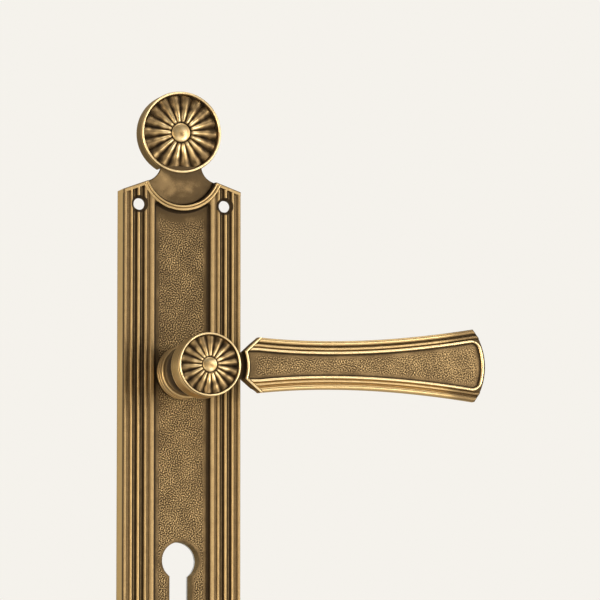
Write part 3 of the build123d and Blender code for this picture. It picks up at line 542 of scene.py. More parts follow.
def add_pad(casting, end):
    """Round pad and tongue at one end of the plate, that the rosette is screwed to."""
    half = math.asin(PAD_TONGUE / PAD_R)
    turn = np.linspace(-math.pi / 2 + half, 1.5 * math.pi - half, 97)
    pad = np.stack([PAD_R * np.cos(turn), end * PAD_R * np.sin(turn)], 1)
    foot = np.array([[-PAD_TONGUE, -end * PAD_FOOT], [PAD_TONGUE, -end * PAD_FOOT]])
    outer = np.concatenate([pad, foot]) + [0, end * CREST_V]
    ring = np.linspace(0, 2 * math.pi, 48, endpoint=False)
    hole = np.stack([PAD_BORE_R * np.cos(ring), PAD_BORE_R * np.sin(ring)], 1) + [0, end * CREST_V]
    depths = (0.04, PAD_DEPTH)  # the back stands a little clear of the plate's own back face
    for loop in (outer, hole):
        upright(casting, loop, depths, 0.35)
    for depth in depths:
        casting.cap([outer, hole], depth, 0.38, plate_to_row, between(outer, [hole]))


def field_surface(x, v, walls):
    """Depth and polish of the stippled panel. walls is the distance in from its smooth margin's outer edge."""
    below_rim = RIM_V - RIM_OUT - np.abs(v)
    field = ease(walls, 2.0, 1.3) * mix(0.65, 1, ease(below_rim, 3, 14))
    grain = stipple.at(x, v)
    relief = np.tanh(grain * 1.1) * STIPPLE_RELIEF * field
    polish = 0.306 - 0.031 * np.tanh((v - HUB_V) / 15) + 0.02 * mottle.at(x, v)
    polish = polish + field * (0.02 + 0.35 * np.tanh(grain * 1.2))
    # darker near the walls: painted shade along the wall's foot
    return FLOOR_DEPTH + relief, polish - 0.14 * (1 - smooth(walls / 2.2))


def plate_panel(name, low, high, step):
    """Stippled panel between two heights v, each given as a function of the distance from the centre line."""
    xs = spaced((-FIELD_X, FIELD_X, int(round(2 * FIELD_X / step))))
    bottom, top = low(np.abs(xs)), high(np.abs(xs))
    share = np.linspace(0, 1, int(round((top.mean() - bottom.mean()) / step)) + 1)
    v = mix(bottom[:, None], top[:, None], share[None, :])
    x = np.broadcast_to(xs[:, None], v.shape)
    keep = None
    walls = np.minimum(PANEL_X - np.abs(x), 0.5 * (np.hypot(x, np.abs(v) - RIM_V) - RIM_OUT))
    has_key = bottom.min() < KEY_V < top.max()
    if has_key:
        reach = key_distance(x, v)
        out = reach > -step * 0.5
        x, v = snapped_to_key(x, v, np.abs(reach) <= step * 0.5)
        keep = out[:-1, :-1] & out[1:, :-1] & out[:-1, 1:] & out[1:, 1:]
        walls = np.minimum(walls, np.maximum(reach, 0) * 1.2 + 1.0)
    depth, polish = field_surface(x, v, walls)
    casting = Casting()
    casting.grid(plate_to_row(x, v, depth), polish, keep=keep)
    outlines = []
    for loop in edge_loops(casting.faces[0]):
        lx, lv, ld = (values.ravel()[loop] for values in (x, v, depth))
        keyhole = has_key and np.abs(lx).max() < KEY_R + 0.2
        end = REBATE_DEPTH if keyhole else INNER_DEPTH
        casting.wall([plate_to_row(lx, lv, d) for d in (ld, mix(ld, end, 0.06), end)], [0.3] * 3)
        outline = np.stack([lx, lv], 1)
        if keyhole:
            wall = outline + loop_normals(lx, lv) * -KEY_WALL
            upright(casting, wall, (REBATE_DEPTH, INNER_DEPTH), 0.2)
            casting.cap([wall, outline], REBATE_DEPTH, 0.2, plate_to_row, between(wall, [outline]))
            outline = wall
        outlines.append(outline)
    outlines.sort(key=lambda o: -np.ptp(o[:, 1]))
    casting.cap(outlines, INNER_DEPTH, 0.2, plate_to_row, between(outlines[0], outlines[1:]))
    casting.build(name, "faceplate", "plate", crease=60)


def nearest_key_circle(x, v):
    """Middle height and radius of the circle nearest to each point, of those whose sweep makes the keyhole."""
    slot_end = KEY_V - (KEY_HEIGHT - KEY_R - KEY_SLOT_R)
    along = np.clip(v, slot_end, KEY_V)
    on_round = np.hypot(x, v - KEY_V) - KEY_R <= np.hypot(x, v - along) - KEY_SLOT_R
    return np.where(on_round, KEY_V, along), np.where(on_round, KEY_R, KEY_SLOT_R)


def key_distance(x, v):
    """Distance outside the keyhole's outline, negative within it."""
    centre, radius = nearest_key_circle(x, v)
    return np.hypot(x, v - centre) - radius


def snapped_to_key(x, v, near):
    """Points near the keyhole's outline, moved onto it."""
    centre, radius = nearest_key_circle(x, v)
    reach = np.maximum(np.hypot(x, v - centre), 1e-6)
    new_x, new_v = x / reach * radius, centre + (v - centre) / reach * radius
    return np.where(near, new_x, x), np.where(near, new_v, v)


# ------------------------------------------------------------------ rosettes

PETALS = 18
PLATE_PETAL_START, HUB_PETAL_START = math.radians(100), math.radians(87)  # from +X to the middle of one petal
# shares of a rosette's radius: edge of the middle button, petals' inner ends, inside and crest of the face ring
BUTTON, PETAL_ROOT, RING_IN, RING_CREST, RING_HALF = 0.236, 0.25, 0.924, 0.962, 0.036
CAP_SLOT, CAP_WALL_R = 9.1, 16.3  # half width of a cap's slot for the tongue, and its inner radius


def rosette_front(rho, angle, radius):
    """Height below the face ring's crest, and polish, of a fluted rosette at a share rho of its radius.

    The angle is measured from the middle of a petal.
    """
    half_petal = math.pi / PETALS
    aside = np.abs(np.mod(angle + half_petal, 2 * half_petal) / half_petal - 1)
    tip = 0.925 - 0.022 * aside**2
    along = np.clip((rho - PETAL_ROOT) / (tip - PETAL_ROOT), 0, 1)
    outer_end = 1 - half_round(np.clip((along - 0.93) / 0.07, 0, 1))
    inner_end = 1 - smooth(along / 0.08)
    sunk = np.maximum(aside**1.9, np.maximum(outer_end * 0.7, inner_end * 0.6))
    height = -0.03 - 0.06 * along**1.3 - (0.030 + 0.065 * along) * sunk
    crest = np.clip(1 - aside**2.4, 0, 1) ** mix(1.4, 3.0, along)
    polish = mix(0.04 + 0.14 * ease(along, 0.5, 0.5), mix(1.0, 0.5, ease(along, 0.12, 0.62)), crest)
    polish = polish * mix(1.0, 0.5, outer_end) * mix(1.0, 0.35, inner_end)
    within = rho < PETAL_ROOT
    gap = (rho > tip) | within
    height = np.where(gap, np.where(within, -0.09, -0.12), height)
    polish = np.where(gap, np.where(within, 0.04, 0.12), polish)
    dome = half_round(rho / BUTTON)
    height = np.where(rho < BUTTON, -0.085 + 0.075 * dome**0.55, height)
    polish = np.where(rho < BUTTON, 0.35 + 0.42 * smooth(dome * 1.8), polish)
    t = np.clip((rho - RING_CREST) / RING_HALF, -1, 1)
    height = np.where(rho > RING_IN, -0.05 + 0.05 * half_round(t), height)
    polish = np.where(rho > RING_IN, 0.30 + 0.70 * smooth((1 - np.abs(t)) * 1.8), polish)
    return height * radius, polish


def upper_side_shade(angle):
    """Share of the brightness that is left round a turned piece, whose upper side is painted darker: painted
    shade.
    """
    return mix(0.55, 1, smooth((0.35 - np.sin(angle)) / 0.9))


def rosette(name, node, body, centre_z, radius, front, back, petal_start, tongue_side=0):
    """Fluted disc. With a tongue side it is a hollow cap, with a slot towards the plate's middle."""
    turns = PETALS * 24
    angle = petal_start + np.linspace(0, 2 * math.pi, turns, endpoint=False)
    rho = spaced((0.004, 0.20, 8), (0.20, 0.28, 10), (0.28, 0.80, 22), (0.80, 0.93, 24), (0.93, 0.998, 14))
    grid_rho, grid_angle = np.meshgrid(rho, angle, indexing="xy")
    drop, polish = rosette_front(grid_rho, grid_angle - petal_start, radius)
    x, up = grid_rho * radius * np.cos(grid_angle), grid_rho * radius * np.sin(grid_angle)
    polish = polish + 0.10 * patches.at(x + centre_z, up) * (grid_rho < 0.93)
    depth = front + drop

    def place(r, a, d):
        return np.stack(np.broadcast_arrays(r * np.cos(a), -np.asarray(d, float), centre_z + r * np.sin(a)), -1)

    casting = Casting()
    casting.grid(place(grid_rho * radius, grid_angle, depth), polish, wrap=True)
    last = depth[:, -1]
    foot = np.full(turns, float(back))
    if tongue_side:
        toward = np.cos(angle + tongue_side * math.pi / 2)
        foot = np.where(toward > math.cos(math.asin(CAP_SLOT / radius)), PAD_DEPTH, foot)
    # the one on the drum has a dark line behind its rim and another at its foot
    # the side of the drum's rosette is painted darker on its upper side: painted shade
    line, shine = (0.0, np.full(turns, 0.3)) if tongue_side else (0.45, 0.9 * upper_side_shade(angle))
    dark = shine if tongue_side else shine * 0.12
    side = [(rho[-1] * radius, last), (radius, last - 0.35), (radius, last - 0.8), (radius - line, last - 1.2),
            (radius, last - 1.6), (radius, mix(last, foot, 0.6)), (radius, foot + 0.3 + line),
            (radius - 0.25 - line / 2, foot)]
    side = [place(r, angle, d) for r, d in side]
    casting.wall(side, np.stack([polish[:, -1], np.full(turns, 0.85), shine, dark, shine, shine, shine, dark]))
    floor_depth = PAD_DEPTH if tongue_side else back
    floor = [place(r, angle, floor_depth) for r in (0.05, 0.0)]
    hollow = [place(CAP_WALL_R, angle, d) for d in (foot, PAD_DEPTH)] if tongue_side else []
    casting.wall([side[-1], *hollow, floor[0]], [0.4] * (len(hollow) + 2))
    start = depth[:, 0]
    casting.wall([place(rho[0] * radius, angle, start), place(0.0, angle, start.mean())], [0.9, 0.9])
    casting.wall(floor, [0.4, 0.4])
    casting.build(name, node, body)


# ------------------------------------------------------------------ turned pieces

def rounded(corners, radius, steps=5):
    """Profile through (radius, depth, polish) corners, each rounded off."""
    corners = np.asarray(corners, float)
    out = [corners[0]]
    for before, at, after in zip(corners[:-2], corners[1:-1], corners[2:]):
        a, b = before - at, after - at
        la, lb = np.linalg.norm(a[:2]), np.linalg.norm(b[:2])
        reach = min(radius, 0.48 * la, 0.48 * lb)
        start, end = at + a / la * reach, at + b / lb * reach
        for t in np.linspace(0, 1, steps):
            out.append((1 - t) ** 2 * start + 2 * t * (1 - t) * at + t * t * end)
    out.append(corners[-1])
    return np.array(out)


def turn_about_spindle(casting, profile, segments=192):
    """Surface of a (radius, depth, polish and shade) profile turned about the spindle, painted darker on its
    upper side: painted shade.
    """
    angle = np.linspace(0, 2 * math.pi, segments, endpoint=False)
    radius, depth, polish = profile.T
    points = np.stack(np.broadcast_arrays(radius[None] * np.cos(angle[:, None]), -depth[None],
                                          radius[None] * np.sin(angle[:, None])), -1)
    # painted shade: the upper side is darker
    casting.grid(points, polish[None] * upper_side_shade(angle)[:, None], wrap=True)


def rose_collar():
    low, high = box_mm("rose_collar")
    front, outer = -low[1], high[0]
    neck, bore, spigot = outer - 0.7, 10.4, 11.2
    corners = [(bore, INNER_DEPTH, .2), (spigot, INNER_DEPTH, .2), (spigot, FLOOR_DEPTH - 0.1, .1),
               (neck + 0.3, FLOOR_DEPTH - 0.1, .1), (neck + 0.3, 10.8, .2), (neck, 11.4, .12), (neck, 12.5, .1)]
    for low_end, high_end, shine in ((12.6, 14.3, 1.0), (16.0, 17.7, 1.0), (19.6, 21.5, 1.0)):
        corners += [(outer, low_end, shine), (outer, high_end, shine), (neck, high_end + 0.3, .04),
                    (neck, high_end + 1.1, .04)]
    corners[-2:] = [(neck, front, .5), (bore, front, .2), (bore, INNER_DEPTH, .2)]
    casting = Casting()
    turn_about_spindle(casting, rounded(corners, 0.5))
    casting.build("rose_collar_turned", "rose_collar", "plate")


DRUM_SEAM = 56.5  # depth where the drum's rosette begins
TAIL_R, GROOVE_R, TAIL_FLAT = 8.5, 7.6, 7.0  # tail's radius, its clip groove's, half width at its flats


def lever_hub():
    radius, seam = box_mm("hub_rosette")[1][0], DRUM_SEAM
    corners = [(0.01, 0, .4), (GROOVE_R, 0, .4), (TAIL_R, 0.3, .4), (TAIL_R, 0.5, .4), (GROOVE_R, 0.5, .2),
               (GROOVE_R, 1.3, .2), (TAIL_R, 1.3, .2), (TAIL_R, 22.7, .2), (11.5, 22.7, .3), (11.5, 24.6, .45),
               (10.7, 25.4, .1)]
    # the shank between collar and drum is painted near black: its patina and painted shade under the drum
    corners += [(mix(10.6, 11.5, t) - 2.6 * math.sin(math.pi * t) ** 0.8, mix(25.6, 42.6, t), 0.04 + 0.10 * t)
                for t in np.linspace(0.04, 0.96, 24)]
    corners += [(11.6, 42.9, .15), (12.6, 43.4, .6), (12.7, 44.1, .6), (13.4, 44.6, .10), (radius, 45.2, .95),
                (radius, 46.9, .95), (radius - 0.25, 47.3, .15), (radius, 47.7, .9), (radius, seam - 0.7, .92),
                (radius - 0.5, seam, .1), (0.01, seam, .1)]
    casting = Casting()
    turn_about_spindle(casting, rounded(corners, 0.45))
    # two flats on the tail that drive the cam
    for points in casting.points:
        tail = points[:, 1] > -5.3
        points[tail, 2] = np.clip(points[tail, 2], -TAIL_FLAT, TAIL_FLAT)
    # arm towards the grip: a rounded bar, painted dark with patina and painted shade
    turn = np.linspace(0, 2 * math.pi, 72, endpoint=False)
    c, s = np.cos(turn), np.sin(turn)
    squareness = 0.32
    w = 6.05 * np.sign(s) * np.abs(s) ** squareness
    d = 51.2 + 2.35 * np.sign(c) * np.abs(c) ** squareness
    rings = [grip_to_row(u, w, d) for u in spaced((6.0, 19.0, 30))]
    casting.wall(rings, [0.15] * len(rings))
    for ring in (rings[0], rings[-1]):
        casting.wall([ring, np.broadcast_to(ring.mean(0), ring.shape)], [0.15, 0.15])
    casting.build("lever_hub_turned", "lever_hub", "lever")


# ------------------------------------------------------------------ the grip

GRIP_TILT = math.radians(1.2)
GRIP_EDGE = [(23.4, 12.4), (55.0, 10.8), (88.7, 12.15), (124.2, 16.4)]
GRIP_CUBIC = np.polyfit(*zip(*GRIP_EDGE), 3)
GRIP_BACK, GRIP_FRONT, GRIP_FLOOR = 48.0, 57.0, 55.45
ROOT_R, ROOT_W = 17.7, 6.2
ROOT_U = math.sqrt(ROOT_R**2 - ROOT_W**2)
END_U, END_W, TIP_U = 126.2, 13.6, 129.7
TIP_R = (END_W**2 + (TIP_U - END_U) ** 2) / (2 * (TIP_U - END_U))
BORDER, GRIP_CORNER = 6.0, 2.2  # width of the long edges, and the sunk panel's corner
LEFT_RIM, RIGHT_RIM, GRIP_ROUND = 1.5, 2.0, 4.6
GRIP_BEAD, GRIP_BEAD_FOOT, GRIP_REED_FOOT = 0.66, 56.3, 56.35
# the long edges' reeds: outer edge, inner edge, crest depth
GRIP_REEDS = [(0.0, 2.2, GRIP_FRONT), (2.95, 4.25, 56.9)]
# grooves inside them: outer edge, inner edge, floor depth, polish of the lower one
GRIP_GROOVES = [(2.2, 2.95, 55.85, 0.30), (4.25, 4.7, 56.05, 0.42)]


def grip_to_row(u, w, depth):
    x = u * math.cos(GRIP_TILT) - w * math.sin(GRIP_TILT)
    z = u * math.sin(GRIP_TILT) + w * math.cos(GRIP_TILT)
    return np.stack(np.broadcast_arrays(x, -np.asarray(depth, float), z), -1)


def grip_half(u):
    return np.polyval(GRIP_CUBIC, np.clip(u, GRIP_EDGE[0][0], GRIP_EDGE[-1][0]))


def grip_left(w):
    aw = np.abs(w)
    chamfer = ROOT_U + (aw - ROOT_W) * (GRIP_EDGE[0][0] - ROOT_U) / (GRIP_EDGE[0][1] - ROOT_W)
    return np.where(aw > ROOT_W, chamfer, chord(ROOT_R, aw))


def grip_right(w):
    aw = np.abs(w)
    corner_u, corner_w = GRIP_EDGE[-1]
    chamfer = corner_u + (corner_w - aw) * (END_U - corner_u) / (corner_w - END_W)
    return np.where(aw > END_W, chamfer, TIP_U - TIP_R + chord(TIP_R, aw))


def grip_surface(u, w):
    """Depth and polish of the grip's front."""
    aw = np.abs(w)
    edge = grip_half(u) - aw
    run, rise = GRIP_EDGE[0][0] - ROOT_U, GRIP_EDGE[0][1] - ROOT_W
    slope = ((u - ROOT_U) * rise - (aw - ROOT_W) * run) / math.hypot(run, rise)
    left = np.minimum(np.hypot(u, w) - ROOT_R, slope)
    corner_u, corner_w = GRIP_EDGE[-1]
    run, rise = END_U - corner_u, corner_w - END_W
    chamfer = -((u - corner_u) * rise + (aw - corner_w) * run) / math.hypot(run, rise)
    right = TIP_R - np.hypot(np.maximum(u - (TIP_U - TIP_R), 0), w)
    # distance outside the sunk panel
    p = np.maximum(round_corner(BORDER - edge, RIGHT_RIM - right, GRIP_CORNER), LEFT_RIM - left)
    # reeds along the edges
    depth = np.full(u.shape, GRIP_REED_FOOT)
    polish = np.full(u.shape, 0.15)
    for a, b, crest in GRIP_REEDS:
        bulge = half_round(across(edge, a, b))
        here = (edge >= a) & (edge <= b)
        depth = np.where(here, mix(GRIP_REED_FOOT, crest, bulge**1.2), depth)
        # the grip's lower side is painted lighter than its upper side: painted light
        polish = np.where(here, mix(mix(0.38, 0.60, w < 0), 0.80, smooth(1.5 * bulge - 0.4)), polish)
    for a, b, floor, dark in GRIP_GROOVES:
        here = (edge > a) & (edge < b)
        depth = np.where(here, mix(floor, GRIP_REED_FOOT, across(edge, a, b) ** 2), depth)
        polish = np.where(here, mix(dark, 0.66, w < 0), polish)
    # the reeds' rounded ends at the two diagonal corners
    fall = half_round(np.clip(1 - chamfer, 0, 1))
    at_corner = (chamfer < 1.0) & (p > 1.2)
    depth = np.where(at_corner, mix(55.9, depth, fall), depth)
    polish = polish * mix(1, 0.55, ease(u, 106, 14) * (edge < 4.7))
    polish = np.where(at_corner, polish * mix(0.4, 1, fall), polish)
    # bead round the panel, which is also the rim at the root and at the tip;
    # it goes on along the root's slopes, past the reeds' ends
    past_bead = p > 2 * GRIP_BEAD
    for here, t, shades in (((p >= 0) & ~past_bead, p - GRIP_BEAD, (0.3, 0.95)),
                            ((left < LEFT_RIM) & (p > 0), left - LEFT_RIM + GRIP_BEAD, (0.12, 0.92))):
        bulge = half_round(t / GRIP_BEAD)
        depth = np.where(here, mix(GRIP_BEAD_FOOT, GRIP_FRONT, bulge**0.8), depth)
        polish = np.where(here, mix(*shades, smooth(1.6 * bulge - 0.3)), polish)
    at_tip = past_bead & (right < 0.5) & (chamfer > 0.3)
    depth = np.where(at_tip, 56.4 - rounding(right, 0.5), depth)
    # sunk panel, painted darker nearer the root and along its margins: painted shade
    field = ease(-p, 1.2, 1.6) * ease(u, 21, 4)
    grain = stipple.at(u + 31, w + 17)
    floor = GRIP_FLOOR + 0.85 * cove(p, 0.6) + np.tanh(grain * 1.1) * STIPPLE_RELIEF * field
    shade = mix(0.31, 0.34, ease(u, 25, 30)) + 0.02 * mottle.at(u, w)
    shade = shade + field * (0.06 + 0.27 * np.tanh(grain * 1.2)) - 0.28 * (1 - ease(-p, 0.2, 0.9))
    return np.where(p < 0, floor, depth), np.where(p < 0, shade, polish)


def lever_grip():
    border = spaced((0, 0.9, 9), (0.9, 2.2, 9), (2.2, 2.95, 7), (2.95, 4.7, 14), (4.7, 6.6, 17))
    inner = np.linspace(1, -1, 62)[1:-1]
    s = spaced((0, 0.03, 30), (0.03, 0.965, 330), (0.965, 1, 34))

    edge_lines, lines = len(border), 2 * len(border) + len(inner)

    def line(j, u):
        half = grip_half(u)
        if j < edge_lines:
            return half - border[j]
        if j < lines - edge_lines:
            return inner[j - edge_lines] * (half - border[-1])
        return border[lines - 1 - j] - half

    u, w = np.zeros((len(s), lines)), np.zeros((len(s), lines))
    for j in range(lines):
        start, end = 20.0, 126.0
        for _ in range(30):
            start = 0.5 * start + 0.5 * float(grip_left(line(j, start)))
            end = 0.5 * end + 0.5 * float(grip_right(line(j, end)))
        u[:, j] = start + (end - start) * s
        w[:, j] = line(j, u[:, j])
    depth, polish = grip_surface(u, w)
    casting = Casting()
    casting.grid(grip_to_row(u, w, depth), polish)
    loop = edge_loops(casting.faces[0])[0]
    lu, lw, ld, lp = u.ravel()[loop], w.ravel()[loop], depth.ravel()[loop], polish.ravel()[loop]
    # straight sides, then a round back, which stays full where it meets the neck
    middle = (GRIP_EDGE[0][0] + TIP_U) / 2
    at_root = (1 - smooth((lu - GRIP_EDGE[0][0] + 1.2) / 1.2)) * (1 - smooth((np.abs(lw) - 10.0) / 2.0))
    full = 0.85 * at_root
    rings, wall_wear_and_shade = [(lu, lw, ld)], [lp]
    # painted shade: darker at the root, above all on its upper slope
    root_shade = mix(1, mix(0.15, 0.6, ease(-lw, 5, 3)), at_root)
    for level, shade in ((55.6, 0.7), (54.6, 0.6), (53.2, 0.5)):
        rings.append((lu, lw, level))
        wall_wear_and_shade.append(shade * root_shade)
    for a in np.radians(np.arange(10, 91, 8)):
        sink = GRIP_ROUND * (1 - math.cos(a)) * (1 - full)
        level = 53.0 - (53.0 - GRIP_BACK) * math.sin(a)
        rings.append((middle + (lu - middle) * (1 - sink / (middle - GRIP_EDGE[0][0])),
                      lw * (1 - sink / np.maximum(grip_half(lu), 9)), level))
        wall_wear_and_shade.append(0.5 * root_shade)
    casting.wall([grip_to_row(*ring) for ring in rings], np.stack(wall_wear_and_shade))
    back = np.stack(rings[-1][:2], 1)
    casting.cap([back], level, 0.5, grip_to_row, between(back, []))
    casting.build("lever_grip_casting", "lever_grip", "lever", crease=50)


def loop_normals(a, b):
    """Unit vectors into a closed loop of points."""
    ta, tb = np.roll(a, -1) - np.roll(a, 1), np.roll(b, -1) - np.roll(b, 1)
    length = np.maximum(np.hypot(ta, tb), 1e-9)
    area = np.sum(a * np.roll(b, -1) - b * np.roll(a, -1))
    side = 1 if area > 0 else -1
    return np.stack([-tb / length * side, ta / length * side], -1)


# ------------------------------------------------------------------ materials

def node(tree, kind, **values):
    made = tree.nodes.new(kind)
    for key, value in values.items():
        setattr(made, key, value)
    return made


def feed(tree, value, stops, socket):
    """Drives a socket with a value through a ramp of (position, colour) stops. One number is a grey."""
    made = node(tree, "ShaderNodeValToRGB")
    made.color_ramp.interpolation = "EASE"
    elements = made.color_ramp.elements
    while len(elements) < len(stops):
        elements.new(0.5)
    for element, (at, colour) in zip(elements, stops):
        element.position = at
        element.color = (*colour, 1) if isinstance(colour, tuple) else (colour, colour, colour, 1)
    tree.links.new(value, made.inputs["Fac"])
    tree.links.new(made.outputs["Color"], socket)


def noise(tree, place, scale, detail, roughness=0.55):
    made = node(tree, "ShaderNodeTexNoise")
    made.inputs["Scale"].default_value = scale
    made.inputs["Detail"].default_value = detail
    made.inputs["Roughness"].default_value = roughness
    tree.links.new(place, made.inputs["Vector"])
    return made.outputs["Fac"]


def bump(tree, shader, height, strength, distance):
    made = node(tree, "ShaderNodeBump")
    made.inputs["Strength"].default_value = strength
    made.inputs["Distance"].default_value = distance
    tree.links.new(height, made.inputs["Height"])
    tree.links.new(made.outputs["Normal"], shader.inputs["Normal"])


def maths(tree, operation, a, b):
    made = node(tree, "ShaderNodeMath", operation=operation)
    for socket, value in zip(made.inputs, (a, b)):
        if isinstance(value, (int, float)):
            socket.default_value = value
        else:
            tree.links.new(value, socket)
    return made.outputs[0]


def new_material(name):
    material = bpy.data.materials.new(name)
    material.use_nodes = True
    tree = material.node_tree
    shader = tree.nodes["Principled BSDF"]
    place = node(tree, "ShaderNodeTexCoord").outputs["Object"]
    return material, tree, shader, place


def antique_brass():
    """Brass with a brown patina, rubbed bright, and with painted shade and painted highlights, as the mesh's
    per-point value sets them.
    """
    material, tree, shader, place = new_material("antique_brass_patina_and_shade")
    clouds, specks = noise(tree, place, 260.0, 4.0), noise(tree, place, 1900.0, 2.0)
    # the mesh's per-point value holds polish and patina, and also painted shade and painted highlights
    wear_and_shade_value = node(tree, "ShaderNodeAttribute", attribute_name="polish", attribute_type="GEOMETRY").outputs["Fac"]
    for texture, share in ((clouds, 0.12), (specks, 0.14)):
        wear_and_shade_value = maths(tree, "ADD", wear_and_shade_value, maths(tree, "MULTIPLY", maths(tree, "SUBTRACT", texture, 0.5), share))
    colours = [(0.0, (0.020, 0.011, 0.005)), (0.22, (0.083, 0.053, 0.024)), (0.45, (0.23, 0.152, 0.070)),
               (0.72, (0.46, 0.315, 0.140)), (1.0, (0.78, 0.585, 0.310))]
    feed(tree, wear_and_shade_value, colours, shader.inputs["Base Color"])
    feed(tree, wear_and_shade_value, [(0.0, 0.62), (0.4, 0.50), (1.0, 0.31)], shader.inputs["Roughness"])
    feed(tree, wear_and_shade_value, [(0.0, 0.55), (0.35, 0.95), (1.0, 1.0)], shader.inputs["Metallic"])
    shader.inputs["Specular Tint"].default_value = (0.95, 0.80, 0.55, 1)
    bump(tree, shader, specks, 0.12, 0.00006)
    return material


def plain_metal(name, dark, light, rough, scale, stretch=(1, 1, 1), metallic=1.0):
    """Worked metal: two tones of cloudy or drawn grain."""
    material, tree, shader, place = new_material(name)
    shape = node(tree, "ShaderNodeMapping")
    shape.inputs["Scale"].default_value = stretch
    tree.links.new(place, shape.inputs["Vector"])
    grain = noise(tree, shape.outputs["Vector"], scale, 4.0, 0.6)
    feed(tree, grain, [(0.3, dark), (0.7, light)], shader.inputs["Base Color"])
    feed(tree, grain, [(0.3, rough * 1.25), (0.7, rough * 0.85)], shader.inputs["Roughness"])
    shader.inputs["Metallic"].default_value = metallic
    bump(tree, shader, grain, 0.15, 0.00005)
    return material


brass = antique_brass()
node_materials = {
    "zinc_steel": plain_metal("zinc_plate", (0.42, 0.42, 0.40), (0.62, 0.62, 0.60), 0.36, 420.0),
    "spring_steel": plain_metal("oiled_spring_steel", (0.13, 0.13, 0.14), (0.28, 0.28, 0.29), 0.32, 900.0),
    "bright_steel": plain_metal("drawn_steel", (0.46, 0.46, 0.47), 0.66, 0.24, 600.0, (6, 0.25, 6)),
    "black_steel": plain_metal("black_oxide_steel", 0.018, 0.05, 0.42, 900.0, metallic=0.7),
    "black_nylon": plain_metal("moulded_nylon", 0.015, 0.04, 0.42, 700.0, metallic=0.0),
    "antique_brass": plain_metal("brass_screw_head", (0.16, 0.10, 0.05), (0.36, 0.25, 0.12), 0.38, 800.0),
}
for entry in frame["record"]["subparts"]:
    cad_piece = frame["nodes"][entry["node"]]
    cad_piece.data.materials.clear()
    cad_piece.data.materials.append(node_materials[entry["material_slot"]])

# ------------------------------------------------------------------ pieces

plate_frame()
HUB_GAP = 11.3  # radius of the gap between the two panels, where the collar stands


def panel_end(ax):
    return RIM_V - chord(FIELD_RHO, ax)


plate_panel("faceplate_panel_upper", lambda ax: HUB_V + chord(HUB_GAP, ax), panel_end, 0.185)
plate_panel("faceplate_panel_lower", lambda ax: -panel_end(ax), lambda ax: HUB_V - chord(HUB_GAP, ax), 0.215)
crest_front = -CREST_LOW[1] - 0.6
for name, side in (("upper_rosette", 1), ("lower_rosette", -1)):
    rosette(name + "_cast", name, "plate", PLATE_MID + side * CREST_V, CREST_R, crest_front, 0.0,
            PLATE_PETAL_START, side)
hub_low, hub_high = box_mm("hub_rosette")
rosette("hub_rosette_cast", "hub_rosette", "lever", 0.0, hub_high[0], -hub_low[1], DRUM_SEAM, HUB_PETAL_START)
rose_collar()
lever_hub()
lever_grip()

# ------------------------------------------------------------------ stage, light and camera

scene = bpy.context.scene
scene.view_settings.view_transform = "Standard"

FLOOR_REACH, FLOOR_GAP = 6.0, 0.01
floor_mesh = bpy.data.meshes.new("floor")
floor_corners = [(x * FLOOR_REACH, y * FLOOR_REACH, cad_low.z - FLOOR_GAP)
                 for x, y in ((-1, -1), (1, -1), (1, 1), (-1, 1))]
floor_mesh.from_pydata(floor_corners, [], [(0, 1, 2, 3)])
floor = bpy.data.objects.new("floor", floor_mesh)
scene.collection.objects.link(floor)
floor_material = bpy.data.materials.new("pale_floor")
floor_material.use_nodes = True
floor_shader = floor_material.node_tree.nodes["Principled BSDF"]
floor_shader.inputs["Base Color"].default_value = (0.80, 0.78, 0.74, 1)
floor_shader.inputs["Roughness"].default_value = 0.8
floor_mesh.materials.append(floor_material)

PAPER = (0.913, 0.888, 0.838)
ROOM, BEHIND = 0.26, 0.9
world = bpy.data.worlds.new("studio")
scene.world = world
world.use_nodes = True
sky = world.node_tree
backdrop = sky.nodes["Background"]
backdrop.inputs["Color"].default_value = (*PAPER, 1)
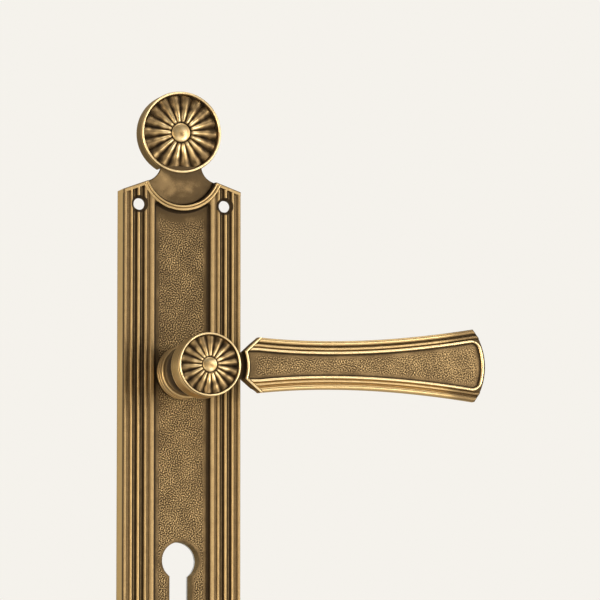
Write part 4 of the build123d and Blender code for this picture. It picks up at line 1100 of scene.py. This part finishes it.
# the object is lit by white paper behind it and a dimmer room in front
split = node(sky, "ShaderNodeSeparateXYZ")
sky.links.new(node(sky, "ShaderNodeTexCoord").outputs["Generated"], split.inputs[0])
behind = maths(sky, "MULTIPLY", maths(sky, "ADD", split.outputs["Y"], 0.25), 1.6)
room = node(sky, "ShaderNodeBackground")
feed(sky, behind, [(0.0, ROOM), (1.0, BEHIND)], room.inputs["Color"])
path = node(sky, "ShaderNodeLightPath")
choose = node(sky, "ShaderNodeMixShader")
sky.links.new(path.outputs["Is Camera Ray"], choose.inputs["Fac"])
sky.links.new(room.outputs[0], choose.inputs[1])
sky.links.new(backdrop.outputs[0], choose.inputs[2])
sky.links.new(choose.outputs[0], sky.nodes["World Output"].inputs["Surface"])

AIM = Vector((0.05896, 0.0, 0.03582))


def softbox(name, place, size, power, colour=(1, 1, 1)):
    data = bpy.data.lights.new(name, "AREA")
    data.shape = "RECTANGLE"
    data.size, data.size_y = size
    data.energy = power
    data.color = colour
    lamp = bpy.data.objects.new(name, data)
    lamp.location = place
    lamp.rotation_euler = (AIM - lamp.location).to_track_quat("-Z", "Y").to_euler()
    lamp.visible_camera = False
    scene.collection.objects.link(lamp)


softbox("key_right", (0.80, -1.50, -0.05), (0.45, 0.5), 11, (1.0, 0.97, 0.93))
softbox("far_right", (1.5, -0.8, 0.3), (0.7, 1.2), 15)
softbox("fill_left", (-1.5, -0.7, 0.5), (0.8, 1.2), 5, (1.0, 0.97, 0.93))
softbox("overhead", (0.1, -0.6, 1.5), (1.4, 0.8), 14)
softbox("low_left", (-0.95, -0.6, -0.08), (0.9, 0.22), 6.6, (1.0, 0.89, 0.70))

YAW, PITCH, DISTANCE, LENS = math.radians(16.294), math.radians(5.532), 2.4, 313.9
toward = Vector((math.sin(YAW) * math.cos(PITCH), math.cos(YAW) * math.cos(PITCH), math.sin(PITCH)))
right = Vector((math.cos(YAW), -math.sin(YAW), 0))
up = right.cross(toward)
camera_data = bpy.data.cameras.new("camera")
camera_data.lens = LENS
camera_data.clip_start, camera_data.clip_end = 0.05, 50
camera = bpy.data.objects.new("camera", camera_data)
turn = Matrix((right, up, -toward)).transposed()
camera.matrix_world = Matrix.Translation(AIM - toward * DISTANCE) @ turn.to_4x4()
scene.collection.objects.link(camera)
scene.camera = camera
